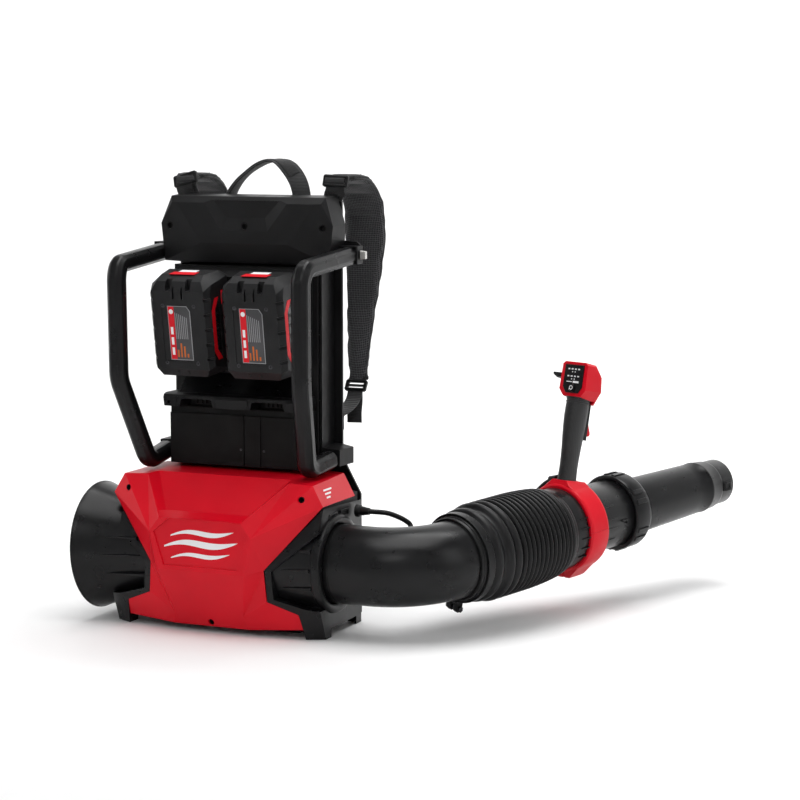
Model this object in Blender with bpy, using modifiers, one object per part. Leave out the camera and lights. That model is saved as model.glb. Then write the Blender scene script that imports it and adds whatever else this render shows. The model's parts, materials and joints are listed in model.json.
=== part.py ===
"""Backpack leaf blower: battery driven axial blower on a back frame, with a flexible hose and a blow tube.

Frame: X to the wearer's right, Y towards the wearer, Z up. The ground is z = 0 and x = 0 is the plane
that the housing is symmetric about. Every size below is in millimetres; the helpers turn them into metres.
"""

import math

import bmesh
import bpy
from mathutils import Matrix, Vector

MM = 0.001
GAP = 0.3
FIT = 0.8  # radial room between turned pieces, whose sides are flat
STEPS = 28

# fan line, running along X
FAN_Y = -46.0
FAN_Z = 96.0
DUCT_R = 58.2
DUCT_BORE = 56.0
DUCT_X = (-122.0, 148.0)

# elbow from the outlet to the hose
ELBOW_R = 53.0
ELBOW_BORE = 50.0
ELBOW_START_X = 140.0
ELBOW_STRAIGHT_X = 207.3
BEND_RADIUS = 97.0
BEND_ANGLE = math.radians(68.2)
BEND_TILT = math.radians(4.9)

# housing
FRAME_HALF_W = 124.0
WING_HALF_W = 151.0
FRAME_BACK_Y = 46.0
FRAME_PLATE_Y = 42.3
FRAME_TOP_Z = 572.0
TRAY_Z = (214.0, 484.0)
PANEL_Y = (0.0, 4.0)
COVER_WALL = 3.0

# batteries
BATTERY_X = 54.0
BATTERY_HALF_W = 45.5
BATTERY_FRONT_Y = -75.0
BATTERY_BACK_Y = -9.5
BATTERY_Z = (10.0, 146.0)
RAIL_Z = (0.0, 112.0)
BATTERY_TILT = math.radians(8.5)
BATTERY_FOOT = (-1.0, 340.0)
FOOT_HALF_NECK = 26.0
FOOT_HALF_FLANGE = 32.0

# guard bars
BAR_END_X = 142.0
BAR_END_Z = 501.0
BOLT_HOLE = [(0, 0), (4.4, 0), (4.4, 30), (0, 30)]
BAR_PATH = [
    (BAR_END_X, 41.2, BAR_END_Z), (139, -92, 490), (138, -104, 484), (137, -108, 473), (136.5, -107, 335),
    (122.5, -66, 231), (121.5, -56, 223), (121.5, -44, 220.5), (125.5, -1, 227),
]

# hose and tube, measured from the elbow's mouth along the tube
CUFF_END = 42.0
HOSE_MID = 120.0
HOSE_END = 183.0
HOSE_R = 67.0
HOSE_ROOT_R = 62.0
REAR_RIDGES = 6
FRONT_RIDGES = 5
HOSE_STEPS = 24
CLAMP_TURN = math.radians(12.0)
CLAMP_RING = (212.0, 248.0)
FRONT_TUBE = (180.0, 330.0)
FRONT_TUBE_R = 47.5
FRONT_TUBE_BORE = 44.5
COLLAR = (318.0, 352.0)
NOZZLE = (262.0, 535.0)
NOZZLE_R = 40.0
TIP = (505.0, 561.0)
TIP_R = 33.0

# control handle, in its own leaning frame above the clamp ring
HANDLE_T = 231.0
HANDLE_BASE = 60.0
HANDLE_LEAN = math.radians(16.0)
NECK_TOP = 10.0
TRIGGER_PIVOT = (0.0, -13.0, 111.0)


# ---------------------------------------------------------------- set-up

def clear_scene():
    for old in list(bpy.data.objects):
        bpy.data.objects.remove(old, do_unlink=True)


def new_collection(name):
    made = bpy.data.collections.new(name)
    bpy.context.scene.collection.children.link(made)
    return made


def make_material(name, colour, roughness, metallic=0.0):
    made = bpy.data.materials.new(name)
    made.use_nodes = True
    shader = made.node_tree.nodes["Principled BSDF"]
    shader.inputs["Base Color"].default_value = (*colour, 1.0)
    shader.inputs["Roughness"].default_value = roughness
    shader.inputs["Metallic"].default_value = metallic
    made.diffuse_color = (*colour, 1.0)
    return made


clear_scene()
PARTS = new_collection("backpack_leaf_blower")
CUTTERS = new_collection("cutters")
BLACK = make_material("black_plastic", (0.022, 0.022, 0.024), 0.5)
RED = make_material("red_plastic", (0.72, 0.012, 0.025), 0.35)
RUBBER = make_material("black_rubber", (0.018, 0.018, 0.018), 0.8)
FABRIC = make_material("black_fabric", (0.02, 0.02, 0.022), 0.95)
STEEL = make_material("steel", (0.6, 0.6, 0.6), 0.3, 1.0)
GREY = make_material("grey_plastic", (0.08, 0.08, 0.085), 0.5)


# ---------------------------------------------------------------- shape helpers

def place_object(name, data, finish, place, cutter):
    """Links one object, as a part or as a cutter, at a placement given in millimetres."""
    made = bpy.data.objects.new(name, data)
    if cutter:
        made.display_type = "WIRE"
        made.hide_render = True
        CUTTERS.objects.link(made)
    else:
        data.materials.append(finish)
        PARTS.objects.link(made)
    if place is not None:
        moved = place.copy()
        moved.translation = place.translation * MM
        made.matrix_world = moved
    return made


def from_bmesh(name, bm, finish, place, cutter):
    """Turns a millimetre bmesh into an object in metres, facing outwards."""
    bmesh.ops.scale(bm, vec=(MM, MM, MM), verts=bm.verts)
    bmesh.ops.recalc_face_normals(bm, faces=bm.faces)
    mesh = bpy.data.meshes.new(name)
    bm.to_mesh(mesh)
    bm.free()
    return place_object(name, mesh, finish, place, cutter)


def prism(name, outline, axis, low, high, finish=None, place=None, cutter=False):
    """An outline extruded along one axis; its two numbers are the other two axes in X, Y, Z order."""
    index = "xyz".index(axis)
    bm = bmesh.new()
    corners = []
    for u, v in outline:
        corner = [u, v]
        corner.insert(index, low)
        corners.append(bm.verts.new(corner))
    face = bm.faces.new(corners)
    made = bmesh.ops.extrude_face_region(bm, geom=[face])
    moved = [v for v in made["geom"] if isinstance(v, bmesh.types.BMVert)]
    bmesh.ops.translate(bm, vec=[high - low if k == index else 0.0 for k in range(3)], verts=moved)
    return from_bmesh(name, bm, finish, place, cutter)


def box(name, x, y, z, finish=None, place=None, cutter=False):
    """A block between low and high limits."""
    bm = bmesh.new()
    bmesh.ops.create_cube(bm, size=1.0)
    spans = (x, y, z)
    bmesh.ops.scale(bm, vec=[abs(high - low) for low, high in spans], verts=bm.verts)
    bmesh.ops.translate(bm, vec=[(low + high) / 2 for low, high in spans], verts=bm.verts)
    return from_bmesh(name, bm, finish, place, cutter)


def hull(name, points, finish=None, place=None, cutter=False):
    """The convex solid round a set of points."""
    bm = bmesh.new()
    for point in points:
        bm.verts.new(point)
    made = bmesh.ops.convex_hull(bm, input=bm.verts)
    unused = {v for v in made["geom_interior"] + made["geom_unused"] if isinstance(v, bmesh.types.BMVert)}
    bmesh.ops.delete(bm, geom=list(unused), context="VERTS")
    bmesh.ops.dissolve_limit(bm, angle_limit=math.radians(0.5), verts=bm.verts, edges=bm.edges)
    return from_bmesh(name, bm, finish, place, cutter)


def mirrored(points):
    """The points and their mirror images in x = 0."""
    return list(points) + [(-x, y, z) for x, y, z in points]


def lathe(name, profile, finish=None, place=None, cutter=False, steps=STEPS):
    """A closed (radius, height) outline turned about Z by a Screw modifier."""
    area = sum(r0 * h1 - r1 * h0 for (r0, h0), (r1, h1) in zip(profile, profile[1:] + profile[:1]))
    ordered = profile if area < 0 else profile[::-1]
    count = len(ordered)
    edges = [(i, (i + 1) % count) for i in range(count)]
    edges = [(i, j) for i, j in edges if ordered[i][0] > 0 or ordered[j][0] > 0]
    mesh = bpy.data.meshes.new(name)
    mesh.from_pydata([(r * MM, 0.0, h * MM) for r, h in ordered], edges, [])
    made = place_object(name, mesh, finish, place, cutter)
    turn = made.modifiers.new("turn", "SCREW")
    turn.steps = steps
    turn.render_steps = steps
    turn.use_merge_vertices = True
    turn.merge_threshold = 0.00001
    return made


def tube(name, path, radius, resolution, finish=None, place=None, cutter=False):
    """A round bar along a path: a bevelled curve, made a mesh and welded so that it can be cut."""
    curve = bpy.data.curves.new(name, "CURVE")
    curve.dimensions = "3D"
    curve.bevel_depth = radius * MM
    curve.bevel_resolution = resolution
    curve.use_fill_caps = True
    spline = curve.splines.new("POLY")
    spline.points.add(len(path) - 1)
    for point, place_mm in zip(spline.points, path):
        point.co = (*(Vector(place_mm) * MM), 1.0)
    guide = bpy.data.objects.new(name + "_curve", curve)
    CUTTERS.objects.link(guide)
    bpy.context.view_layer.update()
    seen = guide.evaluated_get(bpy.context.evaluated_depsgraph_get())
    mesh = bpy.data.meshes.new_from_object(seen)
    bpy.data.objects.remove(guide, do_unlink=True)
    bm = bmesh.new()
    bm.from_mesh(mesh)
    bmesh.ops.remove_doubles(bm, verts=bm.verts, dist=1e-6)
    bmesh.ops.scale(bm, vec=(1 / MM, 1 / MM, 1 / MM), verts=bm.verts)
    return from_bmesh(name, bm, finish, place, cutter)


def loft(name, path, sections, side, finish=None, place=None, cutter=False):
    """Outlines carried along a path with mitred corners: one for all points, or one for each."""
    points = [Vector(p) for p in path]
    side = Vector(side).normalized()
    if not isinstance(sections[0][0], (tuple, list)):
        sections = [sections] * len(points)
    bm = bmesh.new()
    loops = []
    for k, point in enumerate(points):
        before = (points[k] - points[k - 1]).normalized() if k else None
        after = (points[k + 1] - points[k]).normalized() if k + 1 < len(points) else None
        before = before or after
        after = after or before
        along = (before + after).normalized()
        mitre = 1.0 / max(0.5, along.dot(after))
        across = (side - along * side.dot(along)).normalized()
        normal = along.cross(across)
        loops.append([bm.verts.new(point + across * u + normal * (v * mitre)) for u, v in sections[k]])
    bm.faces.new(loops[0])
    bm.faces.new(loops[-1])
    for near, far in zip(loops, loops[1:]):
        for i in range(len(near)):
            j = (i + 1) % len(near)
            bm.faces.new((near[i], near[j], far[j], far[i]))
    return from_bmesh(name, bm, finish, place, cutter)


def rounded(half_w, half_h, cut):
    """A rectangle with cut corners."""
    w, h, c = half_w, half_h, cut
    right = [(w - c, -h), (w, -h + c), (w, h - c), (w - c, h)]
    return right + [(-x, -y) for x, y in right]


def shape_with(target, tool, operation, solver="EXACT"):
    """Applies a boolean of the cutter on the target, as a modifier."""
    step = target.modifiers.new(operation.lower() + "_" + tool.name, "BOOLEAN")
    step.operation = operation
    step.solver = solver
    step.object = tool


def cut(target, tool):
    shape_with(target, tool, "DIFFERENCE")


def add(target, tool, solver="EXACT"):
    shape_with(target, tool, "UNION", solver)


# ---------------------------------------------------------------- placements

def along_x(x=0.0, y=FAN_Y, z=FAN_Z):
    """A frame whose Z runs along the row's +X."""
    turned = Matrix(((0, 0, 1), (1, 0, 0), (0, 1, 0))).to_4x4()
    turned.translation = Vector((x, y, z))
    return turned


def along_y(x, y, z):
    """A frame whose Z runs along the row's +Y."""
    turned = Matrix(((1, 0, 0), (0, 0, 1), (0, -1, 0))).to_4x4()
    turned.translation = Vector((x, y, z))
    return turned


def elbow_path(steps=9):
    """The elbow's centre line up to its mouth, and the direction it leaves in."""
    out = Vector((0.0, math.cos(BEND_TILT), math.sin(BEND_TILT)))
    start = Vector((ELBOW_STRAIGHT_X, FAN_Y, FAN_Z))
    path = [Vector((ELBOW_START_X, FAN_Y, FAN_Z)), start.copy()]
    for k in range(1, steps + 1):
        a = BEND_ANGLE * k / steps
        across = Vector((math.sin(a), 0, 0))
        path.append(start + (across + out * (1 - math.cos(a))) * BEND_RADIUS)
    forward = Vector((1, 0, 0)) * math.cos(BEND_ANGLE) + out * math.sin(BEND_ANGLE)
    return path, forward


ELBOW_PATH, FORWARD = elbow_path()
MOUTH = ELBOW_PATH[-1]
LEFT = Vector((0, 0, 1)).cross(FORWARD).normalized()
UP = FORWARD.cross(LEFT)


def tube_frame(station=0.0):
    """A frame on the tube's line: X to its left, Y up, Z forwards."""
    placed = Matrix((LEFT, UP, FORWARD)).transposed().to_4x4()
    placed.translation = MOUTH + FORWARD * station
    return placed


def handle_on_tube():
    """The handle's own frame, given in the tube's frame."""
    upright = Matrix(((1, 0, 0), (0, 0, 1), (0, -1, 0))).to_4x4()
    lean = Matrix.Rotation(HANDLE_LEAN, 4, "X")
    return Matrix.Translation((0, HANDLE_BASE, HANDLE_T)) @ lean @ upright


def handle_frame():
    """X to the left, Y back to the wearer's hand, Z up the leaning grip."""
    return tube_frame() @ handle_on_tube()


# ---------------------------------------------------------------- housing

def make_base_pan():
    pan = hull("base_pan", mirrored([(110, -60, 0), (112, -62, 9), (110, 37, 0), (112, 38, 9)]), BLACK)
    cut(pan, box("pan_pocket", (-106, 106), (-56, 34), (4, 12), cutter=True))


def make_back_frame():
    half = [(WING_HALF_W, 12), (WING_HALF_W, 176), (FRAME_HALF_W + 6, 214), (FRAME_HALF_W, 244)]
    half.append((FRAME_HALF_W, FRAME_TOP_Z))
    outline = half + [(-x, z) for x, z in reversed(half)]
    frame = prism("back_frame", outline, "y", FRAME_PLATE_Y, FRAME_BACK_Y, BLACK)
    side = [(112, 4.3), (112, 43), (108.5, 43), (108.5, 4.3)]
    for sign, name in ((1, "right"), (-1, "left")):
        wall = [(sign * x, y) for x, y in side]
        add(frame, prism("tray_wall_" + name, wall, "z", TRAY_Z[0], TRAY_Z[1], cutter=True))
        knuckle = [(110, 4.5, z) for z in (216, 242)] + [(110, 41, z) for z in (214, 244)]
        knuckle += [(x, y, z) for x, y in ((138, 4.5), (140, 44)) for z in (218, 240)]
        knuckle += [(120, 44, 214), (120, 44, 244)]
        add(frame, hull("bar_knuckle_" + name, [(sign * x, y, z) for x, y, z in knuckle], cutter=True))
        ear = sorted((sign * 115, sign * 152))
        add(frame, box("bar_ear_" + name, ear, (FRAME_PLATE_Y, FRAME_BACK_Y), (490, 518), cutter=True))
        end = along_y(sign * BAR_END_X, 30, BAR_END_Z)
        cut(frame, lathe("ear_hole_" + name, BOLT_HOLE, None, end, True, steps=16))
    cut(frame, box("plate_window", (-70, 70), (40, 50), (16, 60), cutter=True))


def make_head_cover():
    outer = [(117, 1.5, 576), (130.5, 0.5, 540), (125, 0.5, 490), (100, 0.5, 488)]
    outer += [(118, 42, 580), (130, 42, 540), (127, 42, 490), (60, -6, 548), (48, -6, 522)]
    cover = hull("head_cover", mirrored(outer), BLACK)
    inner = [(113, 6, 572), (126, 5, 538), (121, 5, 490), (121, 5, 480)]
    inner += [(114, 50, 575), (126, 50, 540), (123, 50, 480)]
    cut(cover, hull("head_hollow", mirrored(inner), cutter=True))


def battery_frame(centre):
    """A frame on the dock face of one battery: X across it, Y into the frame, Z up the slide."""
    turned = Matrix.Rotation(BATTERY_TILT, 4, "X")
    turned.translation = Vector((centre, *BATTERY_FOOT))
    return turned


def rail_outline():
    """The pair of hooked rails of one dock, seen along the slide, with a web sunk in the wedge."""
    outer, inner, lip = FOOT_HALF_FLANGE + 0.5, FOOT_HALF_NECK + 0.5, -9.0
    right = [(outer + 4, 4.2), (outer + 4, lip), (inner, lip), (inner, lip + 2.5)]
    right += [(outer, lip + 2.5), (outer, 0.6)]
    return right + [(-x, y) for x, y in reversed(right)]


def make_battery_panel():
    panel = box("battery_panel", (-108, 108), PANEL_Y, TRAY_Z, BLACK)
    rise = Vector((0, -math.sin(BATTERY_TILT), math.cos(BATTERY_TILT))) * 132
    y, z = BATTERY_FOOT
    side = [(y, z), (y + rise.y, z + rise.z), (2, z - 4), (2, z + 142)]
    wedge = [(x, *corner) for x in (-100, 100) for corner in side]
    add(panel, hull("dock_wedge", wedge, cutter=True), "MANIFOLD")
    for sign, name in ((1, "right"), (-1, "left")):
        place = battery_frame(sign * BATTERY_X)
        rails = prism("rails_" + name, rail_outline(), "z", RAIL_Z[0], RAIL_Z[1], None, place, True)
        add(panel, rails, "MANIFOLD")
        reach = sorted((sign * (BATTERY_X - 24), sign * (BATTERY_X + 24)))
        add(panel, box("stop_" + name, reach, (-7.5, 2.5), (341.5, 348.4), cutter=True), "MANIFOLD")


def make_battery_dock():
    dock = box("battery_dock", (-104, 104), (-46, -GAP), (293, 312), BLACK)
    for sign, name in ((1, "right"), (-1, "left")):
        low, high = sorted((sign * (BATTERY_X - 26), sign * (BATTERY_X + 26)))
        cut(dock, box("dock_notch_" + name, (low, high), (-50, -12), (288, 306), cutter=True))


def make_lower_panel():
    panel = box("lower_panel", (-104, 104), (-27, -GAP), (214, 292.5), BLACK)
    cut(panel, box("panel_hollow", (-101, 101), (-24, 5), (217, 289.5), cutter=True))


COVER_POINTS = [
    (121, -86, 206.5), (137, -86, 203.5), (136, 22, 206), (159, -86, 179), (152, 22, 179),
    (130, -101, 188), (38, -137, 158), (70, -137, 137), (57, -137, 97),
    (85, -118, 93), (88, -116, 51), (128, -104, 35), (132, -93, 13), (60, -104, 7),
    (118, 22, 207), (150, 22, 14), (150, -60, 14),
]


def shrunk(points, wall):
    """The points moved towards the housing's middle, for a hollow inside it."""
    middle = Vector((0, -30, 110))
    moved = []
    for point in points:
        away = Vector(point) - middle
        nearer = Vector([v - math.copysign(wall, v) if abs(v) > wall else v for v in away])
        moved.append(tuple(middle + nearer))
    return moved


def cheek_outline(sign, room):
    """The corner of the cover that the black side shroud fills, seen from the rear."""
    line = [(175, 176), (157, 176), (85, 93), (88, 51), (128, 35), (133, -5), (175, -5)]
    return [(sign * (x + 2 * room), z - room if z > 100 else z + room) for x, z in line]


def make_rear_cover():
    cover = hull("rear_cover", mirrored(COVER_POINTS), RED)
    hollow = [(x, y, z) for x, y, z in shrunk(mirrored(COVER_POINTS), COVER_WALL)]
    hollow += mirrored([(133, 40, 205), (147, 40, 176), (147, 40, 0), (129, -88, 0), (60, -99, 0)])
    cut(cover, hull("cover_hollow", hollow, cutter=True))
    cut(cover, box("cover_underside", (-170, 170), (-76, 60), (-5, 60), cutter=True))
    for sign, name in ((1, "right"), (-1, "left")):
        cheek = cheek_outline(sign, 0.0)
        cut(cover, prism("cover_cheek_" + name, cheek, "y", -160, 60, cutter=True))
    liner = [(112, -82, 207.5), (66, -110, 160), (112, -80, 207.5), (66, -104, 160)]
    add(cover, hull("cover_liner", mirrored(liner), cutter=True))
    pocket = [(108, -85, 216), (62, -113, 165), (150, -170, 236), (74, -170, 163)]
    cut(cover, hull("cover_pocket", mirrored(pocket), cutter=True))


SHROUD_POINTS = [
    (131, -80, 0), (157, -80, 0), (151, 41.5, 0), (131, 41.5, 0),
    (101, -112, 110), (101, -113, 93), (101, -112, 52), (128, -104, 34),
    (150, -88, 168), (157, -76, 168), (157, -88, 38),
    (156, -110.5, 74), (156, -110.5, 118), (156, -101, 142),
    (151, 41.5, 175.2), (131, 41.5, 175.2), (140, -80, 175.2), (101, 30, 52), (101, 20, 140),
]


def make_shroud(name, sign, bore):
    """One end housing with its two feet, hollow towards the fan."""
    points = [(sign * x, y, z) for x, y, z in SHROUD_POINTS]
    shroud = hull(name, points, BLACK)
    inner = []
    for x, y, z in SHROUD_POINTS:
        nearer = x - 3 if x > 120 else x - 20
        inner.append((sign * nearer, y + (3.5 if y < 0 else -3.5), z + (4 if z < 60 else -4)))
    cut(shroud, hull(name + "_hollow", inner, cutter=True))
    corner = prism(name + "_corner", cheek_outline(sign, GAP), "y", -160, 60, cutter=True)
    shape_with(shroud, corner, "INTERSECT")
    low, high = sorted((sign * 90, sign * 172))
    if sign > 0:
        collar = [(bore, 150), (bore + 9, 150), (bore + 9, 160), (bore + 6, 164), (bore, 164)]
        add(shroud, lathe(name + "_collar", collar, None, along_x(), True))
    hole = lathe(name + "_bore", [(0, low), (bore, low), (bore, high), (0, high)], None, along_x(), True)
    cut(shroud, hole)
    reach = sorted((sign * 90, sign * 114))
    cut(shroud, box(name + "_pan_room", reach, (-90, 50), (-5, 12.5), cutter=True))


# ---------------------------------------------------------------- guard bars

def make_guard_bars():
    section = rounded(12.0, 12.0, 4.5)
    for sign, name in ((1, "right"), (-1, "left")):
        path = [(sign * x, y, z) for x, y, z in BAR_PATH]
        bar = loft("guard_bar_" + name, path, section, (1, 0, 0), BLACK)
        end = along_y(sign * BAR_END_X, 30, BAR_END_Z)
        cut(bar, lathe("bar_hole_" + name, BOLT_HOLE, None, end, True, steps=16))
        bolt = [(0, 0.5), (4, 0.5), (4, 16.4), (6.5, 16.4), (6.5, 22), (0, 22)]
        lathe("bar_bolt_" + name, bolt, STEEL, end, steps=16)


# ---------------------------------------------------------------- fan line

def make_intake():
    outer = [(86, -200), (84.5, -190), (70, -160), (57.5, -132), (55.6, -124), (55.6, -112)]
    inner = [(r - 2.5, x) for r, x in outer]
    lathe("intake_bell", outer + inner[::-1], BLACK, along_x())
    rim = [(59.0, -152), (62.0, -152), (62.0, -149.4), (59.0, -149.4)]
    guard = lathe("intake_guard", rim, BLACK, along_x())
    for radius in (22.0, 41.0):
        ring = [(radius - 1.4, -152), (radius + 1.4, -152), (radius + 1.4, -149.4), (radius - 1.4, -149.4)]
        add(guard, lathe("guard_ring_%d" % radius, ring, None, along_x(), True, steps=16))
    for k in range(4):
        spin = Matrix.Rotation(math.radians(45 * k + 11), 4, "Z")
        place = along_x() @ spin
        add(guard, box("guard_spoke_%d" % k, (-60.5, 60.5), (-1.5, 1.5), (-151.6, -149.8), None, place, True))
    hub = [(0, -152.4), (9, -152.4), (9, -149.2), (0, -149.2)]
    add(guard, lathe("guard_hub", hub, None, along_x(), True, steps=16))


def add_blades(target, count, root, tip, low, high, thick, twist):
    """Joins a ring of twisted blades, each lofted from its root to its tip, to the target."""
    half = (high - low) / 2
    for k in range(count):
        sections = []
        for angle in twist:
            drift = half * math.tan(math.radians(angle))
            low_side = [(-half, -drift - thick / 2), (half, drift - thick / 2)]
            sections.append(low_side + [(half, drift + thick / 2), (-half, -drift + thick / 2)])
        spin = Matrix.Rotation(2 * math.pi * k / count, 4, "Z")
        path = [(root, 0, low + half), (tip, 0, low + half)]
        name = "%s_blade_%d" % (target.name, k)
        add(target, loft(name, path, sections, (0, 0, 1), None, along_x() @ spin, True))


def make_fan():
    hub = [(4.4, -46), (4.4, -93), (12, -93), (20, -88), (25, -80), (25, -46)]
    rotor = lathe("fan_rotor", hub, GREY, along_x())
    add_blades(rotor, 7, 23.0, 51.0, -82, -52, 2.4, (24, 42))
    lathe("motor_shaft", [(0, -92), (4, -92), (4, 16), (0, 16)], STEEL, along_x(), steps=24)


def make_motor():
    ring = [(53, -40), (55.7, -40), (55.7, 20), (53, 20)]
    stator = lathe("motor_mount", ring, BLACK, along_x())
    add_blades(stator, 9, 24.5, 54.0, -36, 16, 2.4, (6, 6))
    hub = [(21.4, -42), (26, -42), (26, 20), (21.4, 20)]
    add(stator, lathe("stator_hub", hub, None, along_x(), True))
    lathe("motor_can", [(4.08, -38), (21.0, -38), (21.0, 18), (4.08, 18)], STEEL, along_x(), steps=24)
    cone = [(26, 20.3), (24, 45), (15, 78), (0, 92), (0, 88), (13, 75), (21.5, 44), (23.5, 20.3)]
    lathe("tail_cone", cone, BLACK, along_x(), steps=24)


def make_duct():
    ring = [(DUCT_BORE, DUCT_X[0]), (DUCT_R, DUCT_X[0]), (DUCT_R, DUCT_X[1]), (DUCT_BORE, DUCT_X[1])]
    lathe("fan_duct", ring, BLACK, along_x())


def make_elbow():
    path = ELBOW_PATH + [MOUTH + FORWARD * 26]
    elbow = tube("elbow_tube", path, ELBOW_R, 10, BLACK)
    inner = [path[0] - Vector((5, 0, 0))] + path[1:-1] + [path[-1] + FORWARD * 5]
    cut(elbow, tube("elbow_bore", inner, ELBOW_BORE, 10, cutter=True))


def make_cable_gland():
    gland = [(4.6, -4), (6.5, -4), (6.5, 4), (8, 4), (8, 8), (5, 16), (4.6, 16)]
    lathe("cable_gland", gland, RUBBER, along_x(161.5, 14, 158), steps=16)


# ---------------------------------------------------------------- hose and tube

def ridge_line(start, end, count, root, crest):
    """Zigzag (radius, height) points from start to end."""
    pitch = (end - start) / count
    line = []
    for k in range(count):
        line.append((root, start + pitch * k))
        line.append((crest, start + pitch * (k + 0.5)))
    line.append((root, end))
    return line


def bellows(start, end, count):
    """The outside and the inside of one half of the ribbed hose, as (radius, height) points."""
    outer = ridge_line(start, end, count, HOSE_ROOT_R, HOSE_R)
    inner = [(r - 1.8, h) for r, h in outer]
    return outer, inner


def make_hose():
    place = tube_frame()
    outer, inner = bellows(CUFF_END, HOSE_MID - 2, REAR_RIDGES)
    cuff = [(ELBOW_R + FIT, 1), (58.5, 1), (60, 5), (60, 24), (64.5, 28), (64.5, 34)]
    lining = [(60.2, 38), (60.2, 30), (ELBOW_R + FIT, 27)]
    lathe("bellows_rear", cuff + outer + inner[::-1] + lining, RUBBER, place, steps=HOSE_STEPS)
    band = [(58.5, -1.7), (HOSE_R - 0.5, -1.7), (HOSE_R - 0.5, 1.7), (58.5, 1.7)]
    lathe("hose_ring", band, RUBBER, tube_frame(HOSE_MID))
    outer, inner = bellows(HOSE_MID + 2, HOSE_END, FRONT_RIDGES)
    cuff = [(63, 185), (61.5, 193), (57 + FIT, 194), (57 + FIT, 186), (60.2, 184)]
    lathe("bellows_front", outer + cuff + inner[::-1], RUBBER, place, steps=HOSE_STEPS)
    bore = 60.0 + FIT
    clamp = lathe("hose_clamp", [(bore, 8), (63, 8), (63, 21), (bore, 21)], BLACK, place)
    below = place @ Matrix.Rotation(CLAMP_TURN, 4, "Z")
    for sign, side in ((1, "left"), (-1, "right")):
        low, high = sorted((sign * 2, sign * 10))
        add(clamp, box("clamp_ear_" + side, (low, high), (-77, -61), (9, 20), None, below, True))
    add(clamp, box("clamp_web", (-3, 3), (-66, -61), (9.5, 19.5), None, below, True))
    across = below @ along_x(0, -71.5, 14.5)
    cut(clamp, lathe("clamp_bore", [(0, -20), (2.8, -20), (2.8, 20), (0, 20)], None, across, True, steps=12))


def make_front_tube():
    place = tube_frame()
    bore = FRONT_TUBE_R + GAP
    lathe("front_cuff", [(bore, 174), (57, 174), (57, 211.5), (bore, 211.5)], BLACK, place)
    low, high = FRONT_TUBE
    inner, outer = FRONT_TUBE_BORE, FRONT_TUBE_R
    wall = [(inner, low), (outer, low), (outer, high), (inner, high)]
    sleeve = lathe("front_tube", wall, BLACK, place)
    for k in range(4):
        spin = Matrix.Rotation(math.radians(45 + 90 * k), 4, "Z")
        add(sleeve, box("tube_rib_%d" % k, (46.5, 49.5), (-2, 2), (252, 312), None, place @ spin, True))


def make_collar_and_nozzle():
    place = tube_frame()
    low, high = COLLAR
    seat = FRONT_TUBE[1] + GAP
    wide, narrow = FRONT_TUBE_R + FIT, NOZZLE_R + 0.4
    ring = [(wide, low), (53, low), (54, low + 3), (54, high - 4), (51, high), (narrow, high), (narrow, seat)]
    ring.append((wide, seat))
    collar = lathe("lock_collar", ring, BLACK, place)
    for k in range(6):
        spin = Matrix.Rotation(math.radians(60 * k), 4, "Z")
        grip = box("collar_grip_%d" % k, (52, 56), (-3.5, 3.5), (low + 5, high - 6), None, place @ spin, True)
        add(collar, grip)
    start, end = NOZZLE
    wall = 2.2
    outer = [(NOZZLE_R, start), (NOZZLE_R, 374), (36.5, 512), (38, 514), (38, 531), (36, end)]
    seat, bore = TIP_R + GAP, NOZZLE_R - wall
    inner = [(seat, end), (seat, 504), (34.2, 500), (bore, 374), (bore, start)]
    lathe("nozzle_tube", outer + inner, BLACK, place)
    start, end = TIP
    bore = TIP_R - wall
    tip = lathe("nozzle_tip", [(bore, start), (TIP_R, start), (TIP_R, end), (bore, end)], BLACK, place)
    add(tip, box("tip_lug", (-36, -31.5), (-5, 5), (538, 553), None, place, True))


def make_handle_clamp():
    place = tube_frame()
    low, high = CLAMP_RING
    bore = FRONT_TUBE_R + FIT
    band = [(bore, low), (61, low), (62.5, low + 3), (62.5, high - 3), (61, high), (bore, high)]
    upper = lathe("handle_clamp_upper", band, RED, place)
    cut(upper, box("below_split", (-80, 80), (-80, GAP / 2), (200, 260), None, place, True))
    neck = mirrored([(20, 56, HANDLE_T - 16), (20, 56, HANDLE_T + 16)])
    neck += [tuple(handle_on_tube() @ Vector((x, y, NECK_TOP))) for x in (-12, 12) for y in (-14, 14)]
    add(upper, hull("handle_neck", neck, None, place, True))
    lower = lathe("handle_clamp_lower", band, RED, place)
    cut(lower, box("above_split", (-80, 80), (-GAP / 2, 80), (200, 260), None, place, True))
    lug = [(x, -60, t) for x in (-9, 9) for t in (222, 240)]
    lug += [(x, -72, t) for x in (-7, 7) for t in (224, 238)]
    add(lower, hull("clamp_lug", lug, None, place, True))
    across = place @ along_x(0, -67, 231)
    cut(lower, lathe("lug_bore", [(0, -20), (3.1, -20), (3.1, 20), (0, 20)], None, across, True, steps=12))


# ---------------------------------------------------------------- control handle

def oval(half_x, half_y, steps=14):
    angles = [2 * math.pi * k / steps for k in range(steps)]
    return [(half_x * math.cos(a), half_y * math.sin(a)) for a in angles]


def make_grip():
    place = handle_frame()
    heights = [NECK_TOP + 0.3, 34, 60, 88, 108, 120]
    sizes = [(11.5, 13.5), (11.5, 14), (12.5, 15.5), (14, 17), (14.5, 17), (15, 15.5)]
    path = [(0, 0, height) for height in heights]
    grip = loft("handle_grip", path, [oval(*size) for size in sizes], (1, 0, 0), RUBBER, place)
    cut(grip, box("trigger_slot", (-6.5, 6.5), (-30, -3), (62, 114), None, place, True))
    outline = [(4.5, 1), (-0.5, 2), (-6.5, -3), (-9, -15), (-12, -27), (-17, -39), (-14, -43)]
    outline += [(-7.5, -40), (-2.5, -27), (1, -11)]
    prism("trigger", outline, "x", -6, 6, RED, place @ Matrix.Translation(TRIGGER_PIVOT))


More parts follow.
